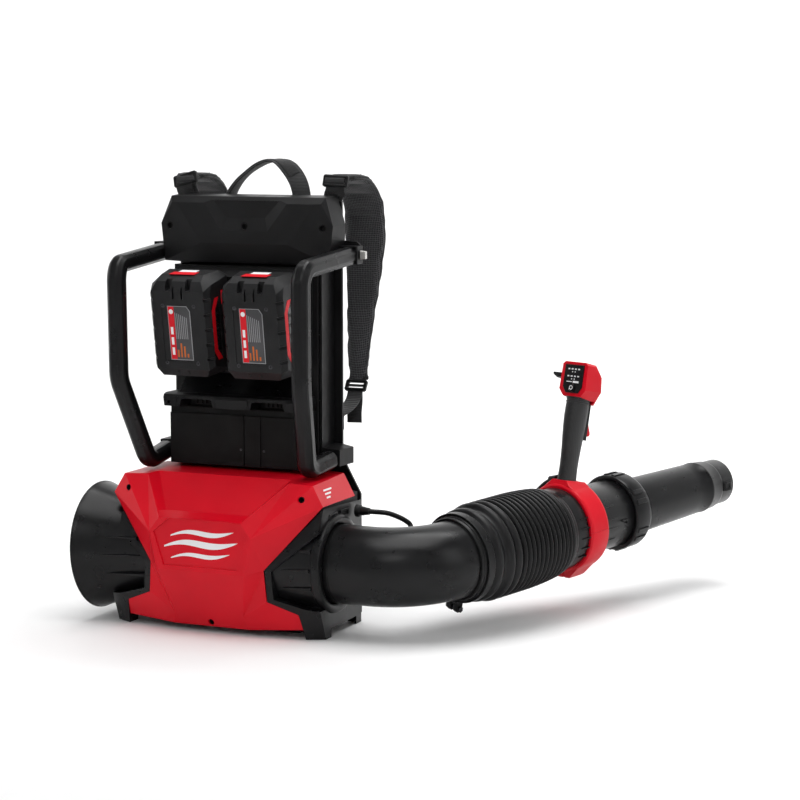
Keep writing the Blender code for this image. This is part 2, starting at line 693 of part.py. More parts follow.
def make_head():
    place = handle_frame()
    points = [(16, -19, 120.3), (16, 15, 120.3), (23, -18, 131), (24, 16, 129), (24, -15, 152), (23, 16, 165)]
    points += [(19, -5, 167), (19, 16, 168)]
    head = hull("control_head", mirrored(points), RED, place)
    button = along_y(0, 0, 132)
    hole = [(0, 10), (5.6, 10), (5.6, 30), (0, 30)]
    cut(head, lathe("button_pocket", hole, None, place @ button, True, steps=20))
    face = [(-17, 163), (-17, 133), (-11, 125), (11, 125), (17, 133), (17, 163)]
    display = prism("display_panel", face, "y", 16.3, 18.3, BLACK, place)
    cut(display, lathe("display_hole", hole, None, place @ button, True, steps=20))
    cap = [(0, 14), (5.2, 14), (5.2, 19.6), (4.4, 20.2), (0, 20.2)]
    lathe("power_button", cap, BLACK, place @ button, steps=20)
    disc = along_x(0, 0, 146)
    lever = lathe("thumb_lever", [(0, 24.4), (8.5, 24.4), (8.5, 28), (0, 28)], BLACK, place @ disc, steps=16)
    paddle = [(x, y, z) for x in (26, 43) for y, z in ((-3, 143), (12, 146), (12, 152), (-3, 150))]
    add(lever, hull("lever_paddle", paddle, None, place, True))


# ---------------------------------------------------------------- batteries

def make_battery(name, centre):
    place = battery_frame(centre)
    low, high = BATTERY_Z
    front, back = BATTERY_FRONT_Y, BATTERY_BACK_Y
    w = BATTERY_HALF_W
    points = []
    for s in (1, -1):
        points += [(s * (w - 6), front, low + 9), (s * (w - 6), front, high - 18)]
        points.append((s * (w - 12), front + 7, high - 8))
        points += [(s * (w - 10), front + 5, low), (s * w, front + 7, low + 9), (s * w, front + 7, high - 20)]
        points += [(s * w, back - 8, low + 4), (s * w, back - 8, high - 8), (s * (w - 8), back - 14, high)]
        points += [(s * (w - 6), back, low), (s * (w - 6), back, high - 8), (s * w, back - 6, low)]
    case = hull(name, points, BLACK, place)
    foot = RAIL_Z[1] + 4
    neck, flange = FOOT_HALF_NECK, FOOT_HALF_FLANGE
    add(case, box(name + "_neck", (-neck, neck), (back - 2, -3), (low, foot), None, place, True))
    add(case, box(name + "_flange", (-flange, flange), (-6, -0.7), (low, foot), None, place, True))
    for s, side in ((1, "right"), (-1, "left")):
        room = sorted((s * (w - 7), s * (w + 4)))
        pocket = box(name + "_pocket_" + side, room, (-38.4, -21.6), (101.6, 122.4), None, place, True)
        cut(case, pocket)
        span = sorted((s * (w - 3.5), s * (w + 1.5)))
        box(name.replace("case", "latch_" + side), span, (-38, -22), (102, 122), RED, place)


# ---------------------------------------------------------------- harness

PAD_PATH = [
    (114, 54, 598.5), (116, 68, 601), (117, 88, 598), (117, 112, 582), (117, 130, 553), (115, 138, 516),
    (113, 140, 478), (111, 138, 440), (110, 131, 400), (112, 121, 362), (116, 106, 322),
]
PAD_HALF_W = [17, 22, 28, 30, 30, 30, 28, 24, 20, 17, 12]


def flat_section(half_w, half_t):
    return rounded(half_w, half_t, min(half_t * 0.6, 3.0))


def make_shoulder_strap(name, sign):
    path = [(sign * x, y, z) for x, y, z in PAD_PATH]
    sections = [flat_section(w, 6.5 if 1 < k < 10 else 4.5) for k, w in enumerate(PAD_HALF_W)]
    loft("shoulder_pad_" + name, path, sections, (1, 0, 0), FABRIC)
    webbing = [(108, 47.3, 545), (108, 47.3, 572), (111, 45.5, 582), (111.5, 45, 588)]
    path = [(sign * x, y, z) for x, y, z in webbing]
    loft("upper_webbing_" + name, path, flat_section(14, 1.0), (1, 0, 0), FABRIC)
    width = sorted((sign * 96, sign * 134))
    buckle = box("upper_buckle_" + name, width, (38, 47.5), (591, 606), BLACK)
    for low in (593.5, 599.5):
        slot = sorted((sign * 99, sign * 131))
        tool = box("buckle_slot_%s_%d" % (name, low), slot, (30, 60), (low, low + 4), cutter=True)
        cut(buckle, tool)
    lower = [(116, 102, 312), (117, 92, 299), (118, 74, 290), (117, 58, 285)]
    lower += [(113, 49, 280), (113, 47.6, 262)]
    path = [(sign * x, y, z) for x, y, z in lower]
    loft("lower_webbing_" + name, path, flat_section(11, 1.0), (1, 0, 0), FABRIC)


def make_pads():
    pad = [(100, 46.3, 520), (96, 62, 510), (84, 72, 500), (100, 46.3, 330), (96, 62, 336), (84, 72, 346)]
    hull("back_pad", mirrored(pad), FABRIC)
    lumbar = [(98, 46.3, 322), (93, 70, 312), (86, 82, 296)]
    lumbar += [(98, 46.3, 226), (93, 70, 232), (86, 82, 246)]
    hull("lumbar_pad", mirrored(lumbar), FABRIC)


def make_carry_handle():
    """The webbing loop to lift the machine by: both ends run down inside the back pad's top."""
    loop = [(-57, 60, 530), (-57, 60, 568), (-44, 63, 596), (-22, 66, 617), (2, 68, 627), (24, 67, 623)]
    loop += [(43, 65, 605), (55, 61, 578), (57, 60, 530)]
    loft("carry_handle", loop, flat_section(13, 1.3), (0, 1, 0), FABRIC)


# ---------------------------------------------------------------- control cable

def smooth(points, pieces=3):
    """Points read from a smooth curve through the given ones."""
    knots = [Vector(p) for p in points]
    ends = [knots[0] * 2 - knots[1]] + knots + [knots[-1] * 2 - knots[-2]]
    out = []
    for a, b, c, d in zip(ends, ends[1:], ends[2:], ends[3:]):
        for k in range(pieces):
            t = k / pieces
            bend = (2 * a - 5 * b + 4 * c - d) * t * t + (3 * b - a - 3 * c + d) * t ** 3
            out.append(0.5 * (2 * b + (c - a) * t + bend))
    return out + [knots[-1]]


def make_cable():
    """The lead from the housing to the handle, clipped to the hose's left side."""
    place = tube_frame()

    def local(x, y, z):
        return tuple(place @ Vector((x, y, z)))

    rear = [(162, 14, 158), (170, 14, 158), (180, 14.5, 158), (203, 28, 154), (222, 48, 138)]
    rear += [local(72.5, 22, -8), local(72.5, 5, 8), local(72.5, 0, 17), local(72.5, 0, 21.6)]
    tube("cable_rear", smooth(rear), 3.6, 2, RUBBER)
    hose = [local(72.5, 0, 22.4), local(72.5, 0, 27), local(72.5, 0, 50), local(72.5, 0, 120)]
    hose += [local(72.5, 0, 185), local(71, 0, 202), local(70.5, 0, 206.5)]
    tube("cable_hose", smooth(hose), 3.6, 2, RUBBER)
    front = [local(70, 0, 208.8), local(69.5, 0, 212), local(69, 12, 220), local(61, 34, 228)]
    front += [local(47, 52, 230), local(34, 61, 231), local(21.5, 63, 231)]
    tube("cable_front", smooth(front), 3.6, 2, RUBBER)


# ---------------------------------------------------------------- finishing

def hang(pivot_name, pivot, names):
    """Parents the named pieces to an empty on their joint's axis, without moving them."""
    empty = bpy.data.objects.new(pivot_name, None)
    empty.empty_display_size = 0.05
    empty.location = Vector(pivot) * MM
    PARTS.objects.link(empty)
    bpy.context.view_layer.update()
    for name in names:
        piece = bpy.data.objects[name]
        piece.parent = empty
        piece.matrix_parent_inverse = empty.matrix_world.inverted()


def hang_moving_pieces():
    tube_pieces = ["bellows_front", "front_cuff", "front_tube", "handle_clamp_upper", "handle_clamp_lower"]
    tube_pieces += ["lock_collar", "nozzle_tube", "nozzle_tip", "handle_grip", "control_head"]
    tube_pieces.append("display_panel")
    tube_pieces += ["cable_front", "trigger", "power_button", "thumb_lever"]
    hang("tube_pivot", MOUTH + FORWARD * HOSE_MID, tube_pieces)


def shade_round_pieces(sharpest=math.radians(32)):
    """Shades every piece smooth, except across edges sharper than the angle given."""
    group = bpy.data.node_groups.new("smooth_by_angle", "GeometryNodeTree")
    group.interface.new_socket("Geometry", in_out="INPUT", socket_type="NodeSocketGeometry")
    group.interface.new_socket("Geometry", in_out="OUTPUT", socket_type="NodeSocketGeometry")
    start, end = group.nodes.new("NodeGroupInput"), group.nodes.new("NodeGroupOutput")
    faces = group.nodes.new("GeometryNodeSetShadeSmooth")
    edges = group.nodes.new("GeometryNodeSetShadeSmooth")
    edges.domain = "EDGE"
    angle = group.nodes.new("GeometryNodeInputMeshEdgeAngle")
    soft = group.nodes.new("FunctionNodeCompare")
    soft.operation = "LESS_THAN"
    soft.inputs["B"].default_value = sharpest
    group.links.new(angle.outputs["Unsigned Angle"], soft.inputs["A"])
    group.links.new(soft.outputs["Result"], edges.inputs["Shade Smooth"])
    group.links.new(start.outputs[0], faces.inputs["Geometry"])
    group.links.new(faces.outputs["Geometry"], edges.inputs["Geometry"])
    group.links.new(edges.outputs["Geometry"], end.inputs[0])
    for piece in PARTS.objects:
        if piece.type == "MESH":
            piece.modifiers.new("shading", "NODES").node_group = group


make_base_pan()
make_back_frame()
make_head_cover()
make_battery_panel()
make_battery_dock()
make_lower_panel()
make_rear_cover()
make_shroud("outlet_shroud", 1, ELBOW_R + FIT)
make_shroud("intake_shroud", -1, 72.0)
make_guard_bars()
make_intake()
make_fan()
make_motor()
make_duct()
make_elbow()
make_cable_gland()
make_hose()
make_front_tube()
make_collar_and_nozzle()
make_handle_clamp()
make_grip()
make_head()
make_battery("battery_right_case", BATTERY_X)
make_battery("battery_left_case", -BATTERY_X)
make_shoulder_strap("right", 1)
make_shoulder_strap("left", -1)
make_pads()
make_carry_handle()
make_cable()
hang_moving_pieces()
shade_round_pieces()
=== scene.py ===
"""Looks of the backpack leaf blower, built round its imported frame.

Sizes and places are millimetres in the frame's axes: X to the wearer's right, Y towards the wearer, Z up.
Each piece is made where it belongs, in one mesh whose object stays at the origin.
"""

import json
import math

import bmesh
import bpy
from mathutils import Matrix, Vector
from mathutils.bvhtree import BVHTree


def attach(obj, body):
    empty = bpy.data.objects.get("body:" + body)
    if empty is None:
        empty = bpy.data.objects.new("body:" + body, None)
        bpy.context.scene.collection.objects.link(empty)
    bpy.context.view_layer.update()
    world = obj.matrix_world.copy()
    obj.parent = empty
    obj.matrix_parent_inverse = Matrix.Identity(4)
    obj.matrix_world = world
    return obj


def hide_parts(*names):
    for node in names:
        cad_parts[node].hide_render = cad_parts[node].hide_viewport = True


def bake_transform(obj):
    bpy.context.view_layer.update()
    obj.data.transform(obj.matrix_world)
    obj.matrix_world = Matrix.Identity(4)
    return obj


MM = 0.001
TAU = 2 * math.pi
SIDES = ((1, "right"), (-1, "left"))
X = Vector((1, 0, 0))
Y = Vector((0, 1, 0))
Z = Vector((0, 0, 1))

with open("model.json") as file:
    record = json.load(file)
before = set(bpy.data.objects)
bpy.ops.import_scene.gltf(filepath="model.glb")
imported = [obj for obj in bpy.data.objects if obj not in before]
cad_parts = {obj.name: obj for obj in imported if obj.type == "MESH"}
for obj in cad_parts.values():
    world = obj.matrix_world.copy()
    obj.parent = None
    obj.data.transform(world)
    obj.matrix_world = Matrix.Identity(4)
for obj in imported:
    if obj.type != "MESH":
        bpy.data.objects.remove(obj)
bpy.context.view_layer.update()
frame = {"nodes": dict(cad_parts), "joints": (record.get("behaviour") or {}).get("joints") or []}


def joint(name):
    return next(j for j in frame["joints"] if j["name"] == name)


# the blow tube's line: stations along it are measured from the elbow's mouth
FORWARD = Vector(joint("nozzle_slide")["axis"])
LEFT = Vector(joint("hose_pitch")["axis"])
UP = FORWARD.cross(LEFT)
HOSE_MID = 120.0
MOUTH = Vector(joint("hose_pitch")["pos_m"]) / MM - FORWARD * HOSE_MID

# the fan's line, along X
FAN_Y, FAN_Z = (v / MM for v in joint("fan_spin")["pos_m"][1:])

# the pistol handle: X to the left, Y to the hand, Z up the grip
HAND_Y = -Vector(joint("power_press")["axis"])
HAND_Z = LEFT.cross(HAND_Y)
TRIGGER_PIVOT = Vector((0.0, -13.0, 111.0))

# the batteries' slide
SLIDE = Vector(joint("battery_right_slide")["axis"])
DOCK_OUT = X.cross(SLIDE)
BATTERY_X = 54.0
BATTERY_FOOT = Vector((0.0, -1.0, 340.0))


def axes_at(origin, x, y, z):
    """A placement whose columns are three directions."""
    placed = Matrix((x, y, z)).transposed().to_4x4()
    placed.translation = Vector(origin)
    return placed


def facing_right(x, y, z):
    return axes_at((x, y, z), Y, Z, X)


def facing_back(x, y, z):
    return axes_at((x, y, z), X, -Z, Y)


def facing_front(x, y, z):
    return axes_at((x, y, z), X, Z, -Y)


def hand_place():
    pivot = Vector(joint("trigger_pull")["pos_m"]) / MM
    origin = pivot - LEFT * TRIGGER_PIVOT.x - HAND_Y * TRIGGER_PIVOT.y - HAND_Z * TRIGGER_PIVOT.z
    return axes_at(origin, LEFT, HAND_Y, HAND_Z)


def battery_place(sign):
    """X across the battery, Y into the frame, Z up the slide, with its origin at the dock's foot."""
    return axes_at(BATTERY_FOOT + X * sign * BATTERY_X, X, -DOCK_OUT, SLIDE)


TUBE = axes_at(MOUTH, LEFT, UP, FORWARD)
FAN = facing_right(0, FAN_Y, FAN_Z)
HAND = hand_place()


# ---------------------------------------------------------------- materials

def add_node(mat, kind, **values):
    """Adds a shader node and sets its attributes and inputs by name."""
    made = mat.node_tree.nodes.new(kind)
    for key, value in values.items():
        if hasattr(made, key):
            setattr(made, key, value)
        else:
            made.inputs[key.replace("_", " ")].default_value = value
    return made


def link(mat, start, end):
    mat.node_tree.links.new(start, end)


def shader_of(mat):
    return mat.node_tree.nodes["Principled BSDF"]


def place_texture(mat, stretch=(1, 1, 1), tilt=0.0):
    """Object coordinates, in metres, stretched along each axis and tilted about X, in degrees."""
    where = add_node(mat, "ShaderNodeTexCoord")
    scaled = add_node(mat, "ShaderNodeMapping")
    scaled.inputs["Scale"].default_value = stretch
    scaled.inputs["Rotation"].default_value = (math.radians(tilt), 0, 0)
    link(mat, where.outputs["Object"], scaled.inputs["Vector"])
    return scaled.outputs["Vector"]


def noise_of(mat, vector, scale, detail=3.0):
    made = add_node(mat, "ShaderNodeTexNoise", Scale=scale, Detail=detail)
    link(mat, vector, made.inputs["Vector"])
    return made.outputs["Fac"]


def vary(mat, value, low, high, socket):
    """Maps a texture to a range of a shader value."""
    spread = add_node(mat, "ShaderNodeMapRange")
    spread.inputs["From Min"].default_value = 0.3
    spread.inputs["From Max"].default_value = 0.7
    spread.inputs["To Min"].default_value = low
    spread.inputs["To Max"].default_value = high
    link(mat, value, spread.inputs["Value"])
    link(mat, spread.outputs["Result"], socket)


def tint(mat, value, dark, light, low=0.35, high=0.65):
    """Colours the surface between two shades, as a texture says."""
    ramp = add_node(mat, "ShaderNodeValToRGB")
    ramp.color_ramp.elements[0].position = low
    ramp.color_ramp.elements[0].color = (*dark, 1)
    ramp.color_ramp.elements[1].position = high
    ramp.color_ramp.elements[1].color = (*light, 1)
    link(mat, value, ramp.inputs["Fac"])
    link(mat, ramp.outputs["Color"], shader_of(mat).inputs["Base Color"])


def bump(mat, height, depth_mm):
    """Raises the surface by a texture; several bumps chain."""
    shader = shader_of(mat)
    made = add_node(mat, "ShaderNodeBump", Strength=1.0, Distance=depth_mm * MM)
    link(mat, height, made.inputs["Height"])
    if shader.inputs["Normal"].links:
        link(mat, shader.inputs["Normal"].links[0].from_socket, made.inputs["Normal"])
    link(mat, made.outputs["Normal"], shader.inputs["Normal"])


def material(name, roughness, metallic=0.0, specular=0.5, coat=0.0, sheen=0.0):
    mat = bpy.data.materials.new(name)
    mat.use_nodes = True
    values = {"Roughness": roughness, "Metallic": metallic, "Specular IOR Level": specular,
              "Coat Weight": coat, "Coat Roughness": 0.1, "Sheen Weight": sheen, "Sheen Roughness": 0.5}
    for socket, value in values.items():
        shader_of(mat).inputs[socket].default_value = value
    return mat


def shade_of(colour, factor):
    return tuple(min(1.0, c * factor) for c in colour)


def moulded(name, colour, roughness, grain=0.05, spread=0.05, contrast=0.25, specular=0.22, **finish):
    """Moulded plastic: a fine spark-eroded grain, uneven gloss and slightly uneven colour."""
    mat = material(name, roughness, specular=specular, **finish)
    vector = place_texture(mat)
    cloud = noise_of(mat, vector, 14.0, 4.0)
    tint(mat, cloud, shade_of(colour, 1 - contrast), shade_of(colour, 1 + contrast))
    patches = noise_of(mat, vector, 45.0, 5.0)
    vary(mat, patches, roughness - spread, roughness + spread, shader_of(mat).inputs["Roughness"])
    bump(mat, noise_of(mat, vector, 900.0, 2.0), grain)
    return mat


def voronoi_of(mat, vector, scale, flat=False):
    made = add_node(mat, "ShaderNodeTexVoronoi", Scale=scale)
    made.voronoi_dimensions = "2D" if flat else "3D"
    made.inputs["Randomness"].default_value = 0.15
    link(mat, vector, made.inputs["Vector"])
    return made.outputs["Distance"]


def spacer_mesh(name, colour, thread):
    """Open air mesh, as on strap linings: rows of small holes between lighter threads; the holes' near black
    is painted shade.
    """
    mat = material(name, 0.85, sheen=0.25, specular=0.25)
    vector = place_texture(mat, tilt=60.0)
    holes = voronoi_of(mat, vector, 400.0, flat=True)
    # painted shade: the holes are near black; the threads' lighter grey is their own colour
    tint(mat, holes, shade_of(colour, 0.25), thread, 0.2, 0.6)
    bump(mat, holes, 0.9)
    bump(mat, noise_of(mat, vector, 160.0), 0.25)
    return mat


def woven(name, colour, scale=520.0):
    """Plain woven nylon: two crossed sets of threads, with painted shade between them and painted light where
    they stand proud.
    """
    mat = material(name, 0.78, sheen=0.2, specular=0.3)
    vector = place_texture(mat)
    mixed = add_node(mat, "ShaderNodeMath", operation="MULTIPLY")
    for k, axis in enumerate(("X", "Z")):
        wave = add_node(mat, "ShaderNodeTexWave", Scale=scale, Distortion=0.4)
        wave.bands_direction = axis
        link(mat, vector, wave.inputs["Vector"])
        link(mat, wave.outputs["Fac"], mixed.inputs[k])
    # painted light and shade: lighter where the threads stand proud, darker between them
    tint(mat, mixed.outputs["Value"], shade_of(colour, 0.4), shade_of(colour, 1.6), 0.1, 0.8)
    bump(mat, mixed.outputs["Value"], 0.25)
    bump(mat, noise_of(mat, vector, 60.0, 4.0), 0.5)
    return mat


def ribbed_webbing(name, colour):
    """Heavy webbing with a rib every couple of millimetres across its run, with painted light on the ribs and
    painted shade in the grooves.
    """
    mat = material(name, 0.7, sheen=0.2, specular=0.35)
    vector = place_texture(mat)
    wave = add_node(mat, "ShaderNodeTexWave", Scale=160.0, Distortion=1.5, Detail=2.0)
    wave.bands_direction = "Z"
    link(mat, vector, wave.inputs["Vector"])
    # painted light and shade: lighter on the ribs' crests, darker in the grooves
    tint(mat, wave.outputs["Fac"], shade_of(colour, 0.55), shade_of(colour, 1.5), 0.2, 0.8)
    bump(mat, wave.outputs["Fac"], 0.35)
    bump(mat, noise_of(mat, vector, 700.0), 0.15)
    return mat


def brushed(name, colour, roughness):
    mat = material(name, roughness, metallic=1.0)
    vector = place_texture(mat, (1.0, 1.0, 14.0))
    scratches = noise_of(mat, vector, 260.0, 4.0)
    tint(mat, scratches, shade_of(colour, 0.75), shade_of(colour, 1.15))
    bump(mat, scratches, 0.05)
    return mat


def stippled(name, colour, roughness, scale, depth):
    """Soft grip rubber with a moulded stipple."""
    mat = material(name, roughness, specular=0.45)
    vector = place_texture(mat)
    dots = voronoi_of(mat, vector, scale)
    tint(mat, dots, shade_of(colour, 1.3), shade_of(colour, 0.7), 0.2, 0.6)
    bump(mat, dots, depth)
    bump(mat, noise_of(mat, vector, 50.0), 0.1)
    return mat


BLACK_COLOUR = (0.005, 0.005, 0.0055)
BLACK = moulded("black_plastic", BLACK_COLOUR, 0.42, grain=0.04)
SATIN = moulded("black_satin", BLACK_COLOUR, 0.3, grain=0.02, spread=0.04)
MATT = moulded("black_matt", (0.004, 0.004, 0.0043), 0.5, grain=0.07)
# near black and dull: painted shade in the screw wells and behind the vent slots, and the near-black of the
# base panel and the dock's blocks
BLACK_AND_PAINTED_SHADE = moulded("near_black_and_painted_shade", (0.002, 0.002, 0.002), 0.7, grain=0.05)
CASE = moulded("battery_plastic", (0.009, 0.009, 0.0097), 0.44, grain=0.09, contrast=0.35)
GLOSS = moulded("black_gloss", (0.008, 0.008, 0.009), 0.18, grain=0.0, spread=0.04, coat=0.4)
HOSE_RUBBER = moulded("hose_rubber", (0.0055, 0.0055, 0.006), 0.36, grain=0.05, spread=0.08)
CABLE_RUBBER = moulded("cable_rubber", (0.009, 0.009, 0.0095), 0.38, grain=0.03)
RED_COLOUR = (0.62, 0.002, 0.013)
RED = moulded("red_plastic", RED_COLOUR, 0.34, grain=0.02, spread=0.03, contrast=0.05, specular=0.2)
RED_FLAT = moulded("red_print", (0.66, 0.006, 0.015), 0.45, grain=0.0, contrast=0.04)
WHITE_PRINT = moulded("white_print", (0.82, 0.82, 0.83), 0.4, grain=0.0, contrast=0.03)
GREY_PRINT = moulded("grey_print", (0.06, 0.06, 0.063), 0.45, grain=0.0, contrast=0.2)
SILVER_PRINT = moulded("silver_print", (0.3, 0.3, 0.31), 0.4, grain=0.0, contrast=0.1)
ORANGE_PRINT = moulded("orange_print", (0.5, 0.12, 0.02), 0.5, grain=0.0, contrast=0.2)
GREY_PLASTIC = moulded("grey_plastic", (0.05, 0.05, 0.055), 0.45)
STEEL = brushed("bolt_steel", (0.62, 0.61, 0.59), 0.28)
DARK_STEEL = brushed("screw_steel", (0.06, 0.06, 0.065), 0.35)
GRIP = stippled("grip_rubber", (0.013, 0.013, 0.0135), 0.4, 620.0, 0.25)
MESH_FABRIC = spacer_mesh("air_mesh", (0.008, 0.008, 0.009), (0.075, 0.075, 0.08))
NYLON = woven("pack_cloth", (0.011, 0.011, 0.012))
WEBBING = ribbed_webbing("webbing", (0.014, 0.014, 0.015))
PIPING = woven("piping", (0.028, 0.028, 0.03), scale=700.0)


# ---------------------------------------------------------------- mesh helpers, all in millimetres

def poly(points, faces):
    """A mesh of named corners: faces list the keys of their corners."""
    bm = bmesh.new()
    verts = {key: bm.verts.new(place) for key, place in points.items()}
    for face in faces:
        bm.faces.new([verts[key] for key in face])
    return bm


def box(x, y, z):
    """A block between two places on each axis, in either order."""
    bm = bmesh.new()
    bmesh.ops.create_cube(bm, size=1.0)
    spans = (x, y, z)
    bmesh.ops.scale(bm, vec=[abs(high - low) for low, high in spans], verts=bm.verts)
    bmesh.ops.translate(bm, vec=[(low + high) / 2 for low, high in spans], verts=bm.verts)
    return bm


def prism(outline, axis, low, high):
    """An outline extruded along one axis; its two numbers are the other two axes in X, Y, Z order."""
    index = "xyz".index(axis)
    bm = bmesh.new()
    rings = []
    for level in (low, high):
        ring = []
        for u, v in outline:
            corner = [u, v]
            corner.insert(index, level)
            ring.append(bm.verts.new(corner))
        rings.append(ring)
    bm.faces.new(rings[0])
    bm.faces.new(rings[1])
    bridge(bm, rings[0], rings[1])
    return bm


def bridge(bm, near, far):
    """Quads between two closed loops of as many corners."""
    for i in range(len(near)):
        bm.faces.new((near[i - 1], near[i], far[i], far[i - 1]))


def hull(points):
    bm = bmesh.new()
    for point in points:
        bm.verts.new(point)
    made = bmesh.ops.convex_hull(bm, input=bm.verts)
    unused = {v for v in made["geom_interior"] + made["geom_unused"] if isinstance(v, bmesh.types.BMVert)}
    bmesh.ops.delete(bm, geom=list(unused), context="VERTS")
    bmesh.ops.dissolve_limit(bm, angle_limit=math.radians(0.5), verts=bm.verts, edges=bm.edges)
    return bm


def slab(outline, low, high, axis="y"):
    """The block between two levels of one axis whose convex outline has the given corners."""
    index = "xyz".index(axis)
    points = []
    for level in (low, high):
        for corner in outline:
            point = list(corner)
            point.insert(index, level)
            points.append(point)
    return hull(points)


def sided(sign, points):
    """Points or outline corners of the right side, mirrored if the sign is -1."""
    return [(sign * x, *rest) for x, *rest in points]


def mirrored(points):
    return list(points) + sided(-1, points)


def polygon(radius, sides, middle=(0, 0)):
    angles = [TAU * k / sides for k in range(sides)]
    return [(middle[0] + radius * math.cos(a), middle[1] + radius * math.sin(a)) for a in angles]


def lathe(profile, steps=72, open_ends=False):
    """A (radius, height) outline turned about Z. A radius of 0 closes on the axis."""
    bm = bmesh.new()
    rings = []
    for radius, height in profile:
        if radius <= 1e-6:
            rings.append([bm.verts.new((0, 0, height))])
            continue
        rings.append([bm.verts.new((x, y, height)) for x, y in polygon(radius, steps)])
    pairs = list(zip(rings, rings[1:]))
    if not open_ends:
        pairs.append((rings[-1], rings[0]))
    for near, far in pairs:
        if len(near) == 1 and len(far) == 1:
            continue
        if len(near) == 1 or len(far) == 1:
            tip, ring = (near[0], far) if len(near) == 1 else (far[0], near)
            for i in range(steps):
                bm.faces.new((tip, ring[i], ring[(i + 1) % steps]))
        else:
            bridge(bm, near, far)
    return bm


def hoop(inner, outer, low, high, steps=24):
    """A square-edged ring about Z, or a solid cylinder if the inner radius is 0."""
    return lathe([(inner, low), (outer, low), (outer, high), (inner, high)], steps)


def sweep(path, section_at, side):
    """Sections carried along a path: section_at(k) outlines point k, and side leads its first axis."""
    points = [Vector(p) for p in path]
    bm = bmesh.new()
    loops = []
    for k, point in enumerate(points):
        before = points[k] - points[max(k - 1, 0)]
        after = points[min(k + 1, len(points) - 1)] - points[k]
        along = (before.normalized() + after.normalized()).normalized()
        towards = Vector(side(k) if callable(side) else side)
        across = (towards - along * towards.dot(along)).normalized()
        normal = along.cross(across)
        loops.append([bm.verts.new(point + across * u + normal * v) for u, v in section_at(k)])
    bm.faces.new(loops[0])
    bm.faces.new(loops[-1])
    for near, far in zip(loops, loops[1:]):
        bridge(bm, near, far)
    return bm


def bar(path, radius, sides=16):
    """A round bar along a path."""
    section = polygon(radius, sides)
    first = Vector(path[1]) - Vector(path[0])
    side = Z if abs(first.normalized().z) < 0.9 else X
    return sweep(path, lambda k: section, side)


def smooth_path(points, pieces=8):
    """Points read from a smooth curve through the given ones."""
    knots = [Vector(p) for p in points]
    ends = [knots[0] * 2 - knots[1]] + knots + [knots[-1] * 2 - knots[-2]]
    out = []
    for a, b, c, d in zip(ends, ends[1:], ends[2:], ends[3:]):
        for k in range(pieces):
            t = k / pieces
            bend = (2 * a - 5 * b + 4 * c - d) * t * t + (3 * b - a - 3 * c + d) * t ** 3
            out.append(0.5 * (2 * b + (c - a) * t + bend))
    return out + [knots[-1]]


def fillet(points, radius, pieces=6):
    """A path of straight runs with its corners rounded."""
    corners = [Vector(p) for p in points]
    out = [corners[0]]
    for a, b, c in zip(corners, corners[1:], corners[2:]):
        reach = min(radius, (a - b).length * 0.45, (c - b).length * 0.45)
        start = b + (a - b).normalized() * reach
        end = b + (c - b).normalized() * reach
        for k in range(pieces + 1):
            t = k / pieces
            out.append(start * (1 - t) ** 2 + b * 2 * t * (1 - t) + end * t * t)
    return out + [corners[-1]]


def rounded(half_w, half_h, radius, pieces=4):
    """A rectangle with round corners."""
    out = []
    for k, (sx, sy) in enumerate(((1, 1), (-1, 1), (-1, -1), (1, -1))):
        for i in range(pieces + 1):
            a = math.pi / 2 * (k + i / pieces)
            x = sx * (half_w - radius) + radius * math.cos(a)
            y = sy * (half_h - radius) + radius * math.sin(a)
            out.append((x, y))
    return out


def oval(half_x, half_y, steps=48, power=2.3):
    """A ring of points on a superellipse."""
    out = []
    for c, s in polygon(1.0, steps):
        x = half_x * math.copysign(abs(c) ** (2 / power), c)
        y = half_y * math.copysign(abs(s) ** (2 / power), s)
        out.append((x, y))
    return out


def joined(*meshes):
    """Several meshes in one."""
    out = bmesh.new()
    for bm in meshes:
        held = bpy.data.meshes.new("held")
        bm.to_mesh(held)
        bm.free()
        out.from_mesh(held)
        bpy.data.meshes.remove(held)
    return out


def placed(bm, place):
    bmesh.ops.transform(bm, matrix=place, verts=bm.verts)
    return bm


def spun(bm, degrees):
    """The mesh turned about Z."""
    return placed(bm, Matrix.Rotation(math.radians(degrees), 4, "Z"))


def linked_object(bm, name="loose"):
    """The mesh as an object in the scene, with its faces outwards."""
    bmesh.ops.recalc_face_normals(bm, faces=bm.faces)
    mesh = bpy.data.meshes.new(name)
    bm.to_mesh(mesh)
    bm.free()
    made = bpy.data.objects.new(name, mesh)
    bpy.context.scene.collection.objects.link(made)
    return made


def evaluated(obj):
    """A new bmesh of the object with its modifiers applied; the object is removed."""
    graph = bpy.context.evaluated_depsgraph_get()
    graph.update()
    mesh = bpy.data.meshes.new_from_object(obj.evaluated_get(graph))
    out = bmesh.new()
    out.from_mesh(mesh)
    bpy.data.meshes.remove(mesh)
    bpy.data.objects.remove(obj, do_unlink=True)
    return out


def combined(bm, tools, operation="DIFFERENCE", solver="EXACT"):
    """The mesh after a boolean with each tool."""
    target = linked_object(bm)
    helpers = [linked_object(tool) for tool in tools]
    for helper in helpers:
        step = target.modifiers.new("step", "BOOLEAN")
        step.operation = operation
        step.solver = solver
        step.object = helper
    out = evaluated(target)
    for helper in helpers:
        bpy.data.objects.remove(helper, do_unlink=True)
    bmesh.ops.remove_doubles(out, verts=out.verts, dist=0.01)
    bmesh.ops.dissolve_limit(out, angle_limit=math.radians(0.3), verts=out.verts, edges=out.edges)
    return out


def finer(bm):
    """The mesh subdivided once, which rounds it."""
    held = linked_object(bm)
    held.modifiers.new("fine", "SUBSURF").levels = 1
    return evaluated(held)


